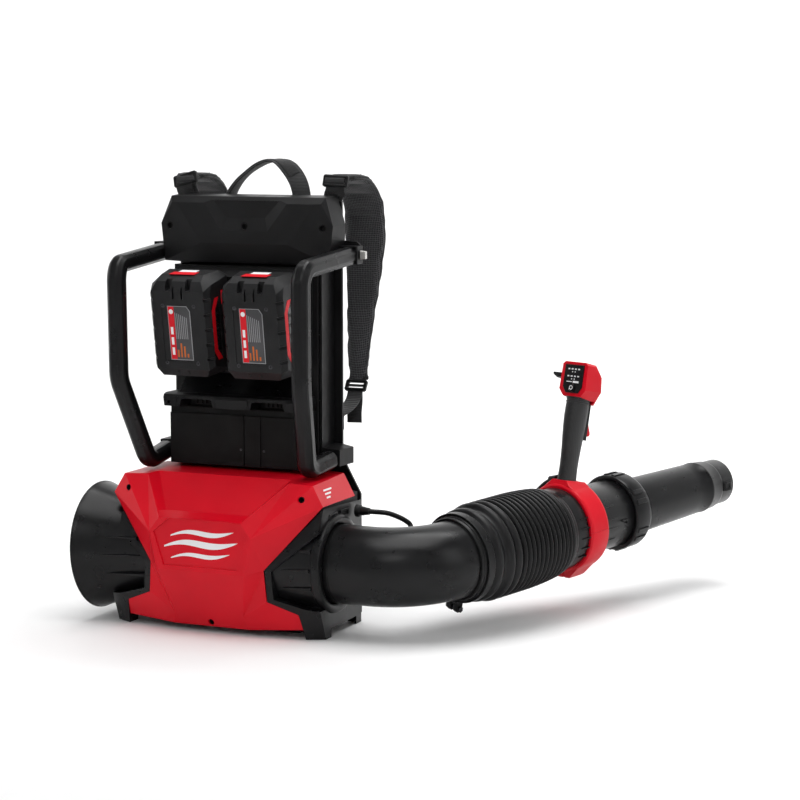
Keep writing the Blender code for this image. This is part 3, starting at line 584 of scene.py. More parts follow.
def bored(bm, centres, radius, low, high):
    """Round holes along Y, each at an X and a Z."""
    tools = [placed(hoop(0, radius, low, high, 28), facing_back(x, 0, z)) for x, z in centres]
    return combined(bm, tools)


def screw_wells(name, centres, profile):
    """A near-black cup in each screw hole of a cover, painted shade for the inside of the hole."""
    cups = [placed(lathe(profile, 24), facing_back(*centre)) for centre in centres]
    piece(name, joined(*cups), BLACK_AND_PAINTED_SHADE, "chassis")


def piece(name, bm, finish, body, stands_for=None, place=None, edge=0, segments=3, angle=30, flat_angle=40):
    """One visible piece, in place, with its edges rounded, riding on its body if one is named."""
    if place is not None:
        placed(bm, place)
    placed(bm, Matrix.Scale(MM, 4))
    made = linked_object(bm, name)
    mesh = made.data
    mesh.materials.append(finish)
    mesh.shade_smooth()
    if edge:
        step = made.modifiers.new("edges", "BEVEL")
        step.width = edge * MM
        step.segments = segments
        step.limit_method = "ANGLE"
        step.angle_limit = math.radians(angle)
        step.harden_normals = True
    else:
        mesh.set_sharp_from_angle(angle=math.radians(flat_angle))
    if body:
        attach(made, body)
    if stands_for:
        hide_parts(stands_for)
    return made


def blended(made):
    """Bakes the piece's placement into its mesh."""
    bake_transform(made)


def screw_head(radius, depth):
    """A small socket screw seen end on: Z is outwards from z = 0."""
    head = lathe([(0, -2), (radius, -2), (radius, depth * 0.6), (radius - 0.5, depth), (0, depth)], 28)
    return combined(head, [prism(polygon(radius * 0.55, 6), "z", 0.2, depth + 1)])


# ---------------------------------------------------------------- red cover

# the right half's corners by letter; the left half's have a minus sign
COVER_HALF = {
    "A": (142, -86, 204.5), "B": (157.5, -88, 178), "C": (153, 20, 177), "D": (136.5, 20, 207),
    "E": (100, -66, 207.5), "F": (64, -112, 163.5), "P": (106, 20, 209.5),
    "G": (107, -84, 206), "H": (67, -127, 164.5),
    "T": (61, -136.5, 157), "S": (76, -137, 138), "I": (65, -137, 88),
    "Q": (52, -113, 27), "J": (57, -103, 8.5),
    "K": (85, -118, 93), "L": (88, -116, 51), "M": (128, -104, 35), "N": (133, -93, 13),
}
COVER_FACES = ("ADPEG", "ABCD", "EGHF", "GAS", "GST", "GTH", "ABS", "BKS", "SKI", "IKQ", "KLQ", "QLM", "QMNJ")
MIDDLE_FACES = (("E-", "E", "P", "P-"), ("E-", "E", "F", "F-"), ("F-", "F", "H", "T", "T-", "H-"),
                ("T-", "T", "S", "I", "I-", "S-"), ("I-", "I", "Q", "Q-"), ("Q-", "Q", "J", "J-"))
LOZENGE = [(46, 157.5), (69.5, 138), (55, 94), (-55, 94), (-69.5, 138), (-46, 157.5)]
COVER_SCREWS = ((130, -96, 187), (-130, -96, 187), (0, -103, 15))


def make_cover():
    """A folded shell with a shallow lozenge on its front and a well for each of its three screws."""
    points = dict(COVER_HALF)
    points.update({key + "-": (-x, y, z) for key, (x, y, z) in COVER_HALF.items()})
    faces = list(MIDDLE_FACES)
    for face in COVER_FACES:
        faces.append(tuple(face))
        faces.append(tuple(key + "-" for key in face))
    held = linked_object(poly(points, faces))
    wall = held.modifiers.new("wall", "SOLIDIFY")
    wall.thickness = 3.0
    wall.offset = -1.0
    wall.use_even_offset = True
    shell = combined(evaluated(held), [prism(LOZENGE, "y", -150, -135.1)])
    shell = bored(shell, [(x, z) for x, _, z in COVER_SCREWS], 4.3, -130, -60)
    piece("rear_cover_shell", shell, RED, "chassis", "rear_cover", edge=0.9, angle=8.0)
    # near-black cups in the cover's screw holes: painted shade
    cup = [(4.2, 0.5), (4.2, 12), (0, 12), (0, 9), (3.2, 9), (3.2, 0.5)]
    screw_wells("cover_screw_wells", COVER_SCREWS, cup)


def swoosh(start, end, sag, thickness, rows=26):
    """A tapering stroke of air in the lozenge's plane: X and Z of its centre line bow by sag."""
    top = []
    bottom = []
    for k in range(rows + 1):
        t = k / rows
        bow = sag * math.sin(TAU * t) * (1 - 0.3 * t)
        half = thickness / 2 * math.sin(math.pi * min(1.0, 0.12 + 0.88 * t) ** 1.4) ** 0.8 + 0.12
        x = start[0] + (end[0] - start[0]) * t
        z = start[1] + (end[1] - start[1]) * t + bow
        top.append((x, z + half))
        bottom.append((x, z - half))
    return prism(top + bottom[::-1], "y", -135.4, -134.9)


def make_cover_graphic():
    """A plain mark: three strokes of moving air, and three bars on the cover's end strip."""
    strokes = [swoosh((-44, 134), (50, 144), 4.0, 6.5), swoosh((-54, 119), (56, 130), 4.5, 8.5),
               swoosh((-44, 104), (44, 114), 3.5, 5.5)]
    piece("cover_graphic", joined(*strokes), WHITE_PRINT, "chassis")
    a, b, c = (Vector(COVER_HALF[key]) for key in "ABC")
    across = (c - b).normalized()
    down = (b - a).normalized()
    out = across.cross(down).normalized()
    if out.x < 0:
        out = -out
    bars = []
    for k, reach in enumerate((26, 19, 12)):
        place = axes_at(a + down * (9 + 5.2 * k) + across * 24 + out * 0.12, across, down, out)
        bars.append(placed(prism([(0, 0), (reach, 0), (reach - 1.6, 2.4), (-1.6, 2.4)], "z", 0, 0.3), place))
    piece("strip_bars", joined(*bars), WHITE_PRINT, "chassis")


# ---------------------------------------------------------------- end housings

# the cheek's outline as (x, z), and how far forward each of its corners is
CHEEK = [(158, 175.5), (86, 93.5), (89, 50.5), (129, 34.5), (134, 0)]
CHEEK_FRONT_Y = [-88, -117, -115, -103, -92]
CHEEK_RECESS = [(172, 156.3), (94.5, 91.65), (97.5, 54.7), (140.2, 42.45), (172, 38.5)]
OUTLET_BORE = 54.2
INTAKE_BORE = 66.5


def shroud_body(sign):
    """The end housing's outer block, with its bevelled frame round the cheek and the two feet."""
    front = [(x, y, z) for (x, z), y in zip(CHEEK, CHEEK_FRONT_Y)]
    rest = [(157, -110, 72), (157, -110, 118), (157, -101, 146), (157, -88, 168), (157.5, -80, 0),
            (130, -84, 0), (157, -90, 34), (152, 41.5, 0), (130, 41.5, 0), (152, 41.5, 175),
            (156.5, -72, 176), (140, -80, 175), (104, 30, 52), (104, 20, 140), (131, 41.5, 175)]
    corner = [(172, 175.5), *CHEEK, (172, 0)]
    trim = prism(sided(sign, corner), "y", -200, 100)
    return combined(hull(sided(sign, front + rest)), [trim], "INTERSECT")


def make_shroud(sign, name, side):
    """One end housing, open round the fan line, and the lip that closes the gap under the cover's strip."""
    recess = prism(sided(sign, CHEEK_RECESS), "y", -160, -84)
    window = box((sign * 90, sign * 150), (-70, 36), (-6, 150))
    arch = box((sign * 90, sign * 172), (-62, 24), (-6, 11))
    body = combined(shroud_body(sign), [recess, window, arch])
    if sign > 0:
        body = combined(body, [placed(hoop(0, OUTLET_BORE, 60, 190, 96), FAN)])
    else:
        turned = FAN @ Matrix.Rotation(math.pi, 4, "Y")
        body = combined(body, [placed(hoop(0, INTAKE_BORE, 60, 190, 96), turned)])
        bell_room = [box((-172, -141), (-200, 20), (42, 190)), box((-172, -135), (-96, 6), (42, 158))]
        body = combined(body, bell_room)
    piece(name, body, SATIN, "chassis", side + "_shroud", edge=1.4)
    lip = [(153.2, -83, 166), (153.2, -83, 180), (148.5, 38, 166), (148.5, 38, 180), (120, -83, 166),
           (120, 38, 166), (134, -80, 186), (126, 30, 186)]
    piece(side + "_lip", hull(sided(sign, lip)), MATT, "chassis", edge=0.5)


def make_outlet_collar():
    """The flared collar that the elbow leaves by, blended into the recess."""
    flare = [(OUTLET_BORE, 88), (66.5, 88), (65.5, 120), (64.3, 149), (65.8, 150.5), (66.3, 156),
             (65.2, 160.5), (61.5, 162.5), (57, 162.2), (OUTLET_BORE, 160)]
    trim = [(84, 190), (170, 190), (170, 2), (134, 2), *reversed(CHEEK[1:4])]
    collar = combined(placed(lathe(flare, 96), FAN), [prism(trim, "y", -200, 100)], "INTERSECT")
    piece("outlet_collar", collar, SATIN, "chassis", edge=0.5, angle=35)


def make_outlet_ribs():
    """Three wedges that run from the cheek to the collar."""
    ribs = []
    for height, start in ((121, 118), (96, 106), (71, 106)):
        y = FAN_Y - 65.6 * math.cos(math.asin((height - FAN_Z) / 66.0))
        ribs.append(prism([(start, height), (148, height + 2.4), (148, height - 2.4)], "y", y - 1.7, y + 4))
    piece("outlet_ribs", joined(*ribs), SATIN, "chassis", edge=0.6)


def make_vents():
    """Two cooling slots over the elbow, and the gland of the lead."""
    rims = []
    holes = []
    dark = []
    for y in (-58, -22):
        rim = [(y - 13, 155.5), (y + 12, 155.5), (y + 14, 165.5), (y - 11, 165.5)]
        hole = [(y - 10.5, 157.5), (y + 10, 157.5), (y + 11.5, 163.5), (y - 9, 163.5)]
        inside = [(y - 10.4, 157.6), (y + 9.9, 157.6), (y + 11.4, 163.4), (y - 8.9, 163.4)]
        rims.append(prism(rim, "x", 156.2, 158.0))
        holes.append(prism(hole, "x", 150, 162))
        dark.append(prism(inside, "x", 155.6, 156.6))
    piece("vent_rims", combined(joined(*rims), holes), SATIN, "chassis", edge=0.4)
    piece("vent_shadow", joined(*dark), BLACK_AND_PAINTED_SHADE, "chassis")
    gland = [(4.2, -3), (8.6, -3), (8.6, 1.5), (7.6, 3.4), (6.2, 4), (6.0, 8), (5.6, 8.4), (5.6, 10),
             (5.2, 10.4), (5.2, 12), (4.7, 16), (3.8, 16)]
    place = facing_right(161.5, 14, 158)
    piece("lead_gland", lathe(gland, 40), CABLE_RUBBER, "chassis", "cable_gland", place)


def make_base():
    """The feet's screws, and the pan between the housings with its ribs."""
    screws = [placed(hoop(0, 3.4, -4, 6), facing_back(x, -86.5, 9.5)) for x in (141, -141)]
    piece("foot_screws", joined(*screws), DARK_STEEL, "chassis")
    pan = hull(mirrored([(109, -60, 0), (112, -62, 9), (109, 37, 0), (112, 38, 9)]))
    ribs = [box((x - 1, x + 1), (-58, 35), (8, 26)) for x in range(-90, 91, 30)]
    piece("base_tray", combined(pan, ribs, "UNION"), MATT, "chassis", "base_pan", edge=1.2)


# ---------------------------------------------------------------- intake

BELL_ROOT_X = -92
BELL_LENGTH = 108


def bell_radius(x):
    """The bell's outer radius at a place along the fan line."""
    t = (BELL_ROOT_X - x) / BELL_LENGTH
    return 60.5 + 26.3 * max(0.0, t) ** 1.55


def make_intake():
    """The flared bell. Its mouth leans back a little, so its rim runs forward at the foot."""
    places = [BELL_ROOT_X - BELL_LENGTH * k / 30 for k in range(31)]
    outer = [(bell_radius(x), x) for x in places]
    rim = [(87.4, -200.6), (87.5, -201.6), (86.8, -202.4), (85.4, -202.2)]
    inner = [(r - 2.6, x) for r, x in reversed(outer)]
    bell = placed(lathe(outer + rim + inner, 128), FAN)
    for v in bell.verts:
        lean = max(0.0, (-150 - v.co.x) / 50) * 0.075
        v.co.x -= lean * (v.co.z - FAN_Z) * 0.5 - lean * 2
    piece("intake_flare", bell, SATIN, "chassis", "intake_bell", flat_angle=50)
    ribs = []
    for height, root, tip in ((120, -112, -166), (96, -102, -168), (70, -100, -164)):
        points = []
        for x, half, proud in ((root, 3.4, 5.0), (tip, 0.5, -0.4)):
            y = FAN_Y - math.cos(math.asin((height - FAN_Z) / 70)) * bell_radius(x)
            points += [(x, y - proud, height + dz) for dz in (-half * 0.45, half * 0.45)]
            points += [(x, y + 5, height + dz) for dz in (-half, half)]
        ribs.append(hull(points))
    piece("intake_ribs", joined(*ribs), SATIN, "chassis", edge=0.8)
    make_intake_grille()


def make_intake_grille():
    """Five hoops and six spokes round a hub."""
    guard = [hoop(r - 1.3, r + 1.3, -152, -149.4, 64) for r in (16, 27, 38, 49, 60)]
    guard.append(lathe([(0, -153), (7, -153), (9, -151.5), (9, -149.2), (0, -149.2)], 40))
    for k in range(6):
        guard.append(spun(box((7, 61), (-1.4, 1.4), (-151.7, -149.7)), 60 * k + math.degrees(0.19)))
    piece("intake_grille", joined(*guard), BLACK, "chassis", "intake_guard", FAN, edge=0.35)


# ---------------------------------------------------------------- back frame and head

FRAME_SIDE = [(151, 12), (151, 176), (130, 214), (124, 244), (124, 572)]


def make_back_frame():
    """The upright plate with its tray walls, stiffening ribs, and the bars' knuckles and ears."""
    plate = prism(FRAME_SIDE + sided(-1, reversed(FRAME_SIDE)), "y", 42.3, 46.0)
    slots = [box((-70, 70), (38, 50), (16, 60))]
    for x in (-96, 96):
        for z in (150, 186):
            slots.append(prism([(x + u, z + v) for u, v in rounded(16, 6, 5.5)], "y", 38, 50))
    plate = combined(plate, slots)
    ribs = []
    for x in (-100, -60, -20, 20, 60, 100):
        ribs.append(box((x - 1.2, x + 1.2), (32, 42.4), (218, 480)))
        ribs.append(box((x - 1.2, x + 1.2), (34, 42.4), (70, 206)))
    for z in (130, 206, 300, 390, 476):
        ribs.append(box((-108, 108), (34, 42.4), (z - 1.2, z + 1.2)))
    plate = combined(plate, ribs, "UNION", "MANIFOLD")
    knuckle = [(110, 4.5, z) for z in (216, 242)] + [(110, 41, z) for z in (214, 244)]
    knuckle += [(138, 4.5, 218), (140, 44, 218), (138, 4.5, 240), (140, 44, 240), (120, 44, 214),
                (120, 44, 244)]
    ear = [(115, 488), (115, 520), (146, 490), (152, 496), (152, 513), (146, 518)]
    for sign in (1, -1):
        wall = box((sign * 108.5, sign * 112), (4.3, 43), (214, 484))
        tools = [wall, hull(sided(sign, knuckle)), slab(sided(sign, ear), 42.3, 46)]
        plate = combined(plate, tools, "UNION", "MANIFOLD")
    piece("back_plate", plate, BLACK, "chassis", "back_frame", edge=0.8, segments=2)


HEAD_HALF = [(113, 0.6, 569), (117, 7, 577.5), (118, 42, 579.5), (130.5, 1.2, 540), (130, 42, 540),
             (125, 1.2, 489), (127, 42, 490), (105, -0.6, 568.6), (65, -6, 514.5), (79, -0.5, 488.5),
             (100, 0.8, 488)]


def make_head_cover():
    """A hollow hood with a sloping recess between its two slanted ridges."""
    cover = hull(mirrored(HEAD_HALF))
    inner = [(113, 6, 572), (126, 6, 538), (121, 6, 490), (121, 5, 480), (114, 50, 575), (126, 50, 540),
             (123, 50, 480)]
    cover = combined(cover, [hull(mirrored(inner))])
    recess = mirrored([(66, -1.0, 4), (63, 0, 0), (35, 0, -38), (35, -1.0, -39), (50, 3.6, 4),
                       (29, 3.6, -19)])
    slope = Matrix.Translation((0, -0.6, 568.6)) @ Matrix.Rotation(-math.atan2(5.4, 54.1), 4, "X")
    cover = combined(cover, [placed(hull(recess), slope)])
    cover = bored(cover, [(116, 537), (-116, 537), (0, 538)], 4.6, -20, 5)
    piece("head_shell", cover, BLACK, "chassis", "head_cover", edge=0.9, angle=7.0, segments=2)
    # near-black cups in the head cover's screw holes: painted shade
    cup = [(4.5, 0.6), (4.5, 5.5), (0, 5.5), (0, 4), (3.7, 4), (3.7, 0.6)]
    screw_wells("head_screw_wells", ((116, 0.6, 537.2), (-116, 0.6, 537.2), (0, -2.0, 537.2)), cup)


DOCK_RAIL_HALF = [(36.5, 4.2), (36.5, -9), (26.5, -9), (26.5, -6.5), (32.5, -6.5), (32.5, 0.6)]


def make_panels():
    """The panel behind the batteries with the two hooked rails of each dock, and the shelf under them."""
    rise = SLIDE * 132
    foot_y, foot_z = BATTERY_FOOT.y, BATTERY_FOOT.z
    panel = box((-108, 108), (0, 4), (214, 484))
    wedge = [(foot_y, foot_z), (foot_y + rise.y, foot_z + rise.z), (2, foot_z - 4), (2, foot_z + 142)]
    panel = combined(panel, [slab(wedge, -100, 100, "x")], "UNION", "MANIFOLD")
    shelf = mirrored([(88, -30, 311.5), (84, -24, 318), (84, -8, 332), (90, -3, 338), (90, 1, 338),
                      (90, 1, 311.5)])
    piece("dock_shelf", hull(shelf), SATIN, "chassis", edge=3.0, segments=5, angle=12)
    rails = []
    outline = DOCK_RAIL_HALF + sided(-1, reversed(DOCK_RAIL_HALF))
    for sign, side in SIDES:
        rails.append(placed(prism(outline, "z", 0, 112), battery_place(sign)))
        blades = [box((x - 0.8, x + 0.8), (-2.6, 0.8), (12, 34)) for x in (-15, -7, 7, 15)]
        piece("contacts_" + side, joined(*blades), STEEL, "chassis", place=battery_place(sign), edge=0.2)
    panel = combined(panel, rails, "UNION", "MANIFOLD")
    piece("tray_panel", panel, MATT, "chassis", "battery_panel", edge=0.7)


def make_base_panel():
    """The boards under the dock, split by two fine seams, with two small screws."""
    boards = [box(span, (-27, -24.4), (214, 283.6)) for span in ((-104, 9.2), (10.6, 34.4), (35.8, 104))]
    boards.append(box((-103.6, 103.6), (-24.6, -22.4), (214, 292.5)))
    boards += [box((x, x + 3), (-24.6, -0.3), (214, 292.5)) for x in (-104, 101)]
    piece("base_panel", joined(*boards), BLACK_AND_PAINTED_SHADE, "chassis", "lower_panel", edge=0.5)
    heads = [placed(screw_head(1.7, 1.2), facing_front(x, -27.0, 237)) for x in (5, 40)]
    piece("panel_screws", joined(*heads), GREY_PLASTIC, "chassis")


def make_dock():
    """The crosspiece under the batteries, with a framed notch below each one and its contact block."""
    beam = [(-44, 310), (-38, 312), (-0.3, 312), (-46, 306), (-45, 294), (-0.3, 293)]
    beam = hull(mirrored([(104 if z > 300 else 103, y, z) for y, z in beam]))
    notch = [(-27, 290), (-23.5, 303.5), (-21, 305), (21, 305), (23.5, 303.5), (27, 290)]
    rim = [(-33, 290), (-29, 306.5), (-26.5, 308.3), (26.5, 308.3), (29, 306.5), (33, 290)]
    cuts = []
    blocks = []
    for sign in (1, -1):
        middle = sign * BATTERY_X
        cuts.append(prism([(middle + x, z) for x, z in notch], "y", -50, -14))
        cuts.append(prism([(middle + x, z) for x, z in rim], "y", -50, -44.6))
        blocks.append(box((middle - 22, middle + 22), (-16, -13), (290, 305)))
        blocks.append(box((middle - 12, middle + 14), (-24, -15), (296, 303)))
        for x in (-9, -2, 5, 11):
            blocks.append(box((middle + x - 1.5, middle + x + 1.5), (-28, -23), (297, 303)))
    beam = bored(combined(beam, cuts), [(-96, 299.5), (96, 299.5)], 2.6, -50, -40)
    piece("dock_beam", beam, BLACK, "chassis", "battery_dock", edge=1.0)
    piece("dock_blocks", joined(*blocks), BLACK_AND_PAINTED_SHADE, "chassis", edge=0.5)


# ---------------------------------------------------------------- guard bars

BAR_PATH = [(142, 41.2, 501), (138.4, -100, 489), (137, -109, 474), (136.5, -107, 335), (121.8, -62, 226.5),
            (121.5, -50, 220.5), (125.5, -1, 227)]
BAR_BOLT = (142, 501)


def bar_section(half, corner):
    """An octagon with its corners eased."""
    ring = [(half, -half + corner), (half, half - corner), (half - corner, half), (-half + corner, half),
            (-half, half - corner), (-half, -half + corner), (-half + corner, -half), (half - corner, -half)]
    eased = []
    for k, (x, y) in enumerate(ring):
        for other in (ring[k - 1], ring[(k + 1) % 8]):
            eased.append((x + (other[0] - x) * 0.16, y + (other[1] - y) * 0.16))
    return eased


def make_guard_bar(sign, side):
    """One bar, the cuff at its top, and the bolt and nut that hold it to the frame's ear."""
    bolt_x, bolt_z = sign * BAR_BOLT[0], BAR_BOLT[1]
    section = bar_section(12.0, 6.2)
    rod = sweep(fillet(sided(sign, BAR_PATH), 11, 5), lambda k: section, X)
    rod = combined(rod, [placed(hoop(0, 4.4, -14, 20), facing_back(bolt_x, 30, bolt_z))])
    piece("bar_" + side, rod, SATIN, "chassis", "guard_bar_" + side, flat_angle=17)
    room = box((sign * 132, sign * 151.8), (10, 45), (490.4, 511.6))
    cuff = combined(box((sign * 128, sign * 155.5), (24, 41.6), (489, 513)), [room])
    piece("bar_cuff_" + side, cuff, BLACK, "chassis", edge=1.4)
    bolt = joined(prism(polygon(7.2, 6), "z", 0.6, 6), hoop(0, 3.9, -20, 1), hoop(0, 8.6, 0, 0.7, 32))
    place = facing_back(bolt_x, 46.3, bolt_z)
    piece("bolt_" + side, bolt, STEEL, "chassis", "bar_bolt_" + side, place, edge=0.4)
    nut = [(156, y, z) for y in (30, 38) for z in (495, 507)]
    nut += [(164, y, z) for y in (31, 37) for z in (496, 506)]
    piece("bar_nut_" + side, hull(sided(sign, nut)), STEEL, "chassis", edge=0.8)


# ---------------------------------------------------------------- batteries

def battery_case():
    """The case in its own frame: a chamfered block with stepped front edges."""
    half, low, high, front, back = 45.5, 10.0, 146.0, -75.0, -9.5
    points = [(half - 6, front, low + 11), (half - 6, front, high - 19), (half - 12, front + 7, high - 7),
              (half - 12, front + 5, low), (half, front + 8, low + 14), (half, front + 8, high - 24),
              (half - 1, front + 14, high - 12), (half, back - 8, low + 6), (half, back - 8, high - 8),
              (half - 8, back - 14, high), (half - 14, front + 20, high), (half - 6, back, low),
              (half - 6, back, high - 8), (half, back - 6, low)]
    return hull(mirrored(points))


def battery_cuts(s):
    """What is cut from one half: edge grips, notches, a foot slot, the latch's room and a side panel."""
    cuts = []
    grip = ((36.0, -80, 2.2), (48, -80, 2.2), (48, -64, 2.2), (39.5, -71.0, 1.2))
    for height in (35, 55, 75, 95, 115):
        cuts.append(hull([(s * x, y, height + v) for x, y, half in grip for v in (-half, half)]))
    notch = [(-4.6, 160), (-4.2, 130), (-2.6, 127), (2.6, 127), (4.2, 130), (4.6, 160)]
    cuts.append(prism([(s * 15 + x, z) for x, z in notch], "y", -90, -63.5))
    cuts.append(box((s * 6.5 - 1.2, s * 6.5 + 1.2), (-90, -71.6), (116, 160)))
    cuts.append(box((s * 8 - 1.5, s * 8 + 1.5), (-90, -71.5), (5, 18)))
    cuts.append(box((s * 38.5, s * 49), (-38.4, -21.6), (101.6, 122.4)))
    panel = [(-66, 100), (-56, 116), (-44, 116), (-44, 30), (-56, 30), (-66, 44)]
    cuts.append(prism(panel, "x", s * 44.8, s * 50))
    return cuts


def make_battery(sign, side):
    """One battery: its case over a sliding foot, then its plate, trim and two latches."""
    place = battery_place(sign)
    body = "battery_" + side
    plate_room = placed(prism(rounded(26, 38, 3.0), "y", -80, -74.3), Matrix.Translation((0, 0, 69)))
    case = combined(battery_case(), battery_cuts(1) + battery_cuts(-1) + [plate_room])
    foot = [box((-26, 26), (-12, -3), (10, 116)), box((-32, 32), (-6, -0.7), (10, 116))]
    case = combined(case, foot, "UNION")
    piece("pack_" + side, case, CASE, body, "battery_%s_case" % side, place, edge=0.9, angle=20)
    make_plate(side, body, place)
    make_pack_trim(side, body, place)
    make_latches(side, place)


def make_plate(side, body, place):
    """A generic rating plate, a red band with marks and a grey field of rows, with a screw at each corner."""
    edge = [(-17, 107), (12, 107), (17, 100), (17, 33), (-17, 33)]
    field = [(-8.5, 106), (11.6, 106), (16, 99.7), (16, 34), (-8.5, 34)]
    marks = [prism(polygon(3.2, 24, (-11.8, 99)), "y", -74.85, -74.6)]
    marks += [box((-13.9, -10.2), (-74.85, -74.6), (low, low + 10)) for low in (40, 54, 68)]
    rows = []
    for k in range(7):
        left = -6.4 + 2.8 * k
        rows.append(box((left, left + 0.9), (-74.82, -74.6), (62, 98 - 1.1 * k)))
    dashes = []
    for left, height in ((-6.0, 10), (-1.2, 19), (3.6, 15), (8.4, 5)):
        dashes.append(box((left, left + 2.3), (-74.82, -74.6), (37, 37 + height)))
    piece("plate_edge_" + side, prism(edge, "y", -74.55, -74.0), SILVER_PRINT, body, place=place)
    piece("plate_field_" + side, prism(field, "y", -74.7, -74.4), GREY_PRINT, body, place=place)
    band = box((-16.2, -7.4), (-74.72, -74.4), (34, 106))
    piece("plate_band_" + side, band, RED_FLAT, body, place=place)
    piece("plate_marks_" + side, joined(*marks), WHITE_PRINT, body, place=place)
    piece("plate_lines_" + side, joined(*rows), SILVER_PRINT, body, place=place)
    piece("plate_dashes_" + side, joined(*dashes), ORANGE_PRINT, body, place=place)
    corners = ((-23.5, 29), (-23.5, 107), (23.5, 29), (23.5, 107))
    screws = [placed(screw_head(3.0, 0.9), facing_front(x, -74.3, z)) for x, z in corners]
    piece("pack_screws_" + side, joined(*screws), DARK_STEEL, body, place=place)


def make_pack_trim(side, body, place):
    """The sticker over the top edge, and a red strip with dark cells on both sides."""
    red_chip = box((-19, 19), (-58, -44), (146.25, 146.75))
    piece("chip_red_" + side, red_chip, RED_FLAT, body, place=place)
    white_chip = box((-13, 13), (-43.6, -32), (146.25, 146.75))
    piece("chip_white_" + side, white_chip, WHITE_PRINT, body, place=place)
    outline = [(-65.2, 99.6), (-60, 108), (-55, 115), (-45, 115), (-50, 108), (-57, 99), (-57, 46), (-50, 38),
               (-45, 31), (-55.6, 31), (-65.2, 44.4)]
    strips = [prism(outline, "x", s * 44.5, s * 45.4) for s in (1, -1)]
    cells = []
    for s in (1, -1):
        for low in (44, 57, 70, 83, 96):
            cells.append(box((s * 44.5, s * 45.0), (-54, -46), (low, low + 9)))
    piece("pack_strips_" + side, joined(*strips), RED_FLAT, body, place=place)
    piece("pack_cells_" + side, joined(*cells), GLOSS, body, place=place, edge=0.3)


def make_latches(side, place):
    """A grooved tab on each side of the battery, each a body of its own."""
    for s, latch in SIDES:
        inner = [(s * 42.0, y, z) for y in (-38, -22) for z in (102, 122)]
        outer = [(s * 46.9, y, z) for y in (-36.5, -23.5) for z in (104, 120)]
        grooves = [box((s * 46.2, s * 49), (-39, -21), (z - 0.7, z + 0.7)) for z in (108, 112, 116)]
        tab = combined(hull(inner + outer), grooves)
        name = "%s_latch_%s" % (side, latch)
        piece(name + "_tab", tab, RED, name, "battery_%s_latch_%s" % (side, latch), place, edge=0.6)


# ---------------------------------------------------------------- inner air path, from the CAD, refinished

FAN_FINISHES = {"fan_rotor": GREY_PLASTIC, "motor_shaft": STEEL, "motor_mount": MATT, "motor_can": STEEL,
                "tail_cone": MATT, "fan_duct": SATIN}


def finish_fan():
    for name, finish in FAN_FINISHES.items():
        frame["nodes"][name].material_slots[0].material = finish


# ---------------------------------------------------------------- elbow and hose

ELBOW_START_X = 140.0
ELBOW_BEND_X = 207.3
ELBOW_BEND_RADIUS = 97.0
ELBOW_TURN = math.radians(68.2)
ELBOW_TILT = math.radians(4.9)


def elbow_path(steps=40):
    """Straight out along the fan line, round the bend, and into the hose."""
    out = Vector((0, math.cos(ELBOW_TILT), math.sin(ELBOW_TILT)))
    reach = ELBOW_BEND_X - ELBOW_START_X
    path = [Vector((ELBOW_START_X + reach * k / 6, FAN_Y, FAN_Z)) for k in range(7)]
    corner = path[-1]
    for k in range(1, steps + 1):
        a = ELBOW_TURN * k / steps
        path.append(corner + (X * math.sin(a) + out * (1 - math.cos(a))) * ELBOW_BEND_RADIUS)
    return path + [MOUTH + FORWARD * t for t in (5, 12, 26)]


def make_elbow():
    path = elbow_path()
    outer, inner = polygon(52.6, 96), polygon(50.0, 96)
    bore_path = [path[0] - X * 6] + path[1:-1] + [path[-1] + FORWARD * 6]
    shell = combined(sweep(path, lambda k: outer, Z), [sweep(bore_path, lambda k: inner, Z)])
    piece("elbow", shell, SATIN, "chassis", "elbow_tube", edge=0.6, angle=60, segments=2)
    seams = []
    for x, radius in ((165.5, 53.0), (168.2, 52.9)):
        band = [(radius - 1.2, x - 0.5), (radius, x - 0.3), (radius, x + 0.3), (radius - 1.2, x + 0.5)]
        seams.append(lathe(band, 96))
    piece("elbow_seams", joined(*seams), SATIN, "chassis", place=FAN)


# the hose's grooves: two wide folds at the rear, then a dozen narrow ones that shrink towards the front
GROOVES = [43.0, 57.0] + [71.0 + 8.5 * k for k in range(13)]
CRESTS = [67.4] * 8 + [67.2, 66.9, 66.4, 65.8, 65.0, 64.0]
FOLD_DEPTH = 6.0
# the fold that stays rigid between the two bellows
MIDDLE_FOLD = 7


def ridge_profile(first, last, points=10):
    """Rounded crests between narrow grooves, as (radius, height)."""
    line = []
    for k in range(first, last):
        for i in range(points):
            s = i / points
            height = GROOVES[k] + (GROOVES[k + 1] - GROOVES[k]) * s
            line.append((CRESTS[k] - FOLD_DEPTH + FOLD_DEPTH * math.sin(math.pi * s) ** 0.75, height))
    line.append((CRESTS[last - 1] - FOLD_DEPTH, GROOVES[last]))
    return line


def hose_part(name, outer, body, stands_for, wall=2.2):
    inner = [(r - wall, h) for r, h in reversed(outer)]
    return piece(name, lathe(outer + inner, 120), HOSE_RUBBER, body, stands_for, TUBE, flat_angle=50)


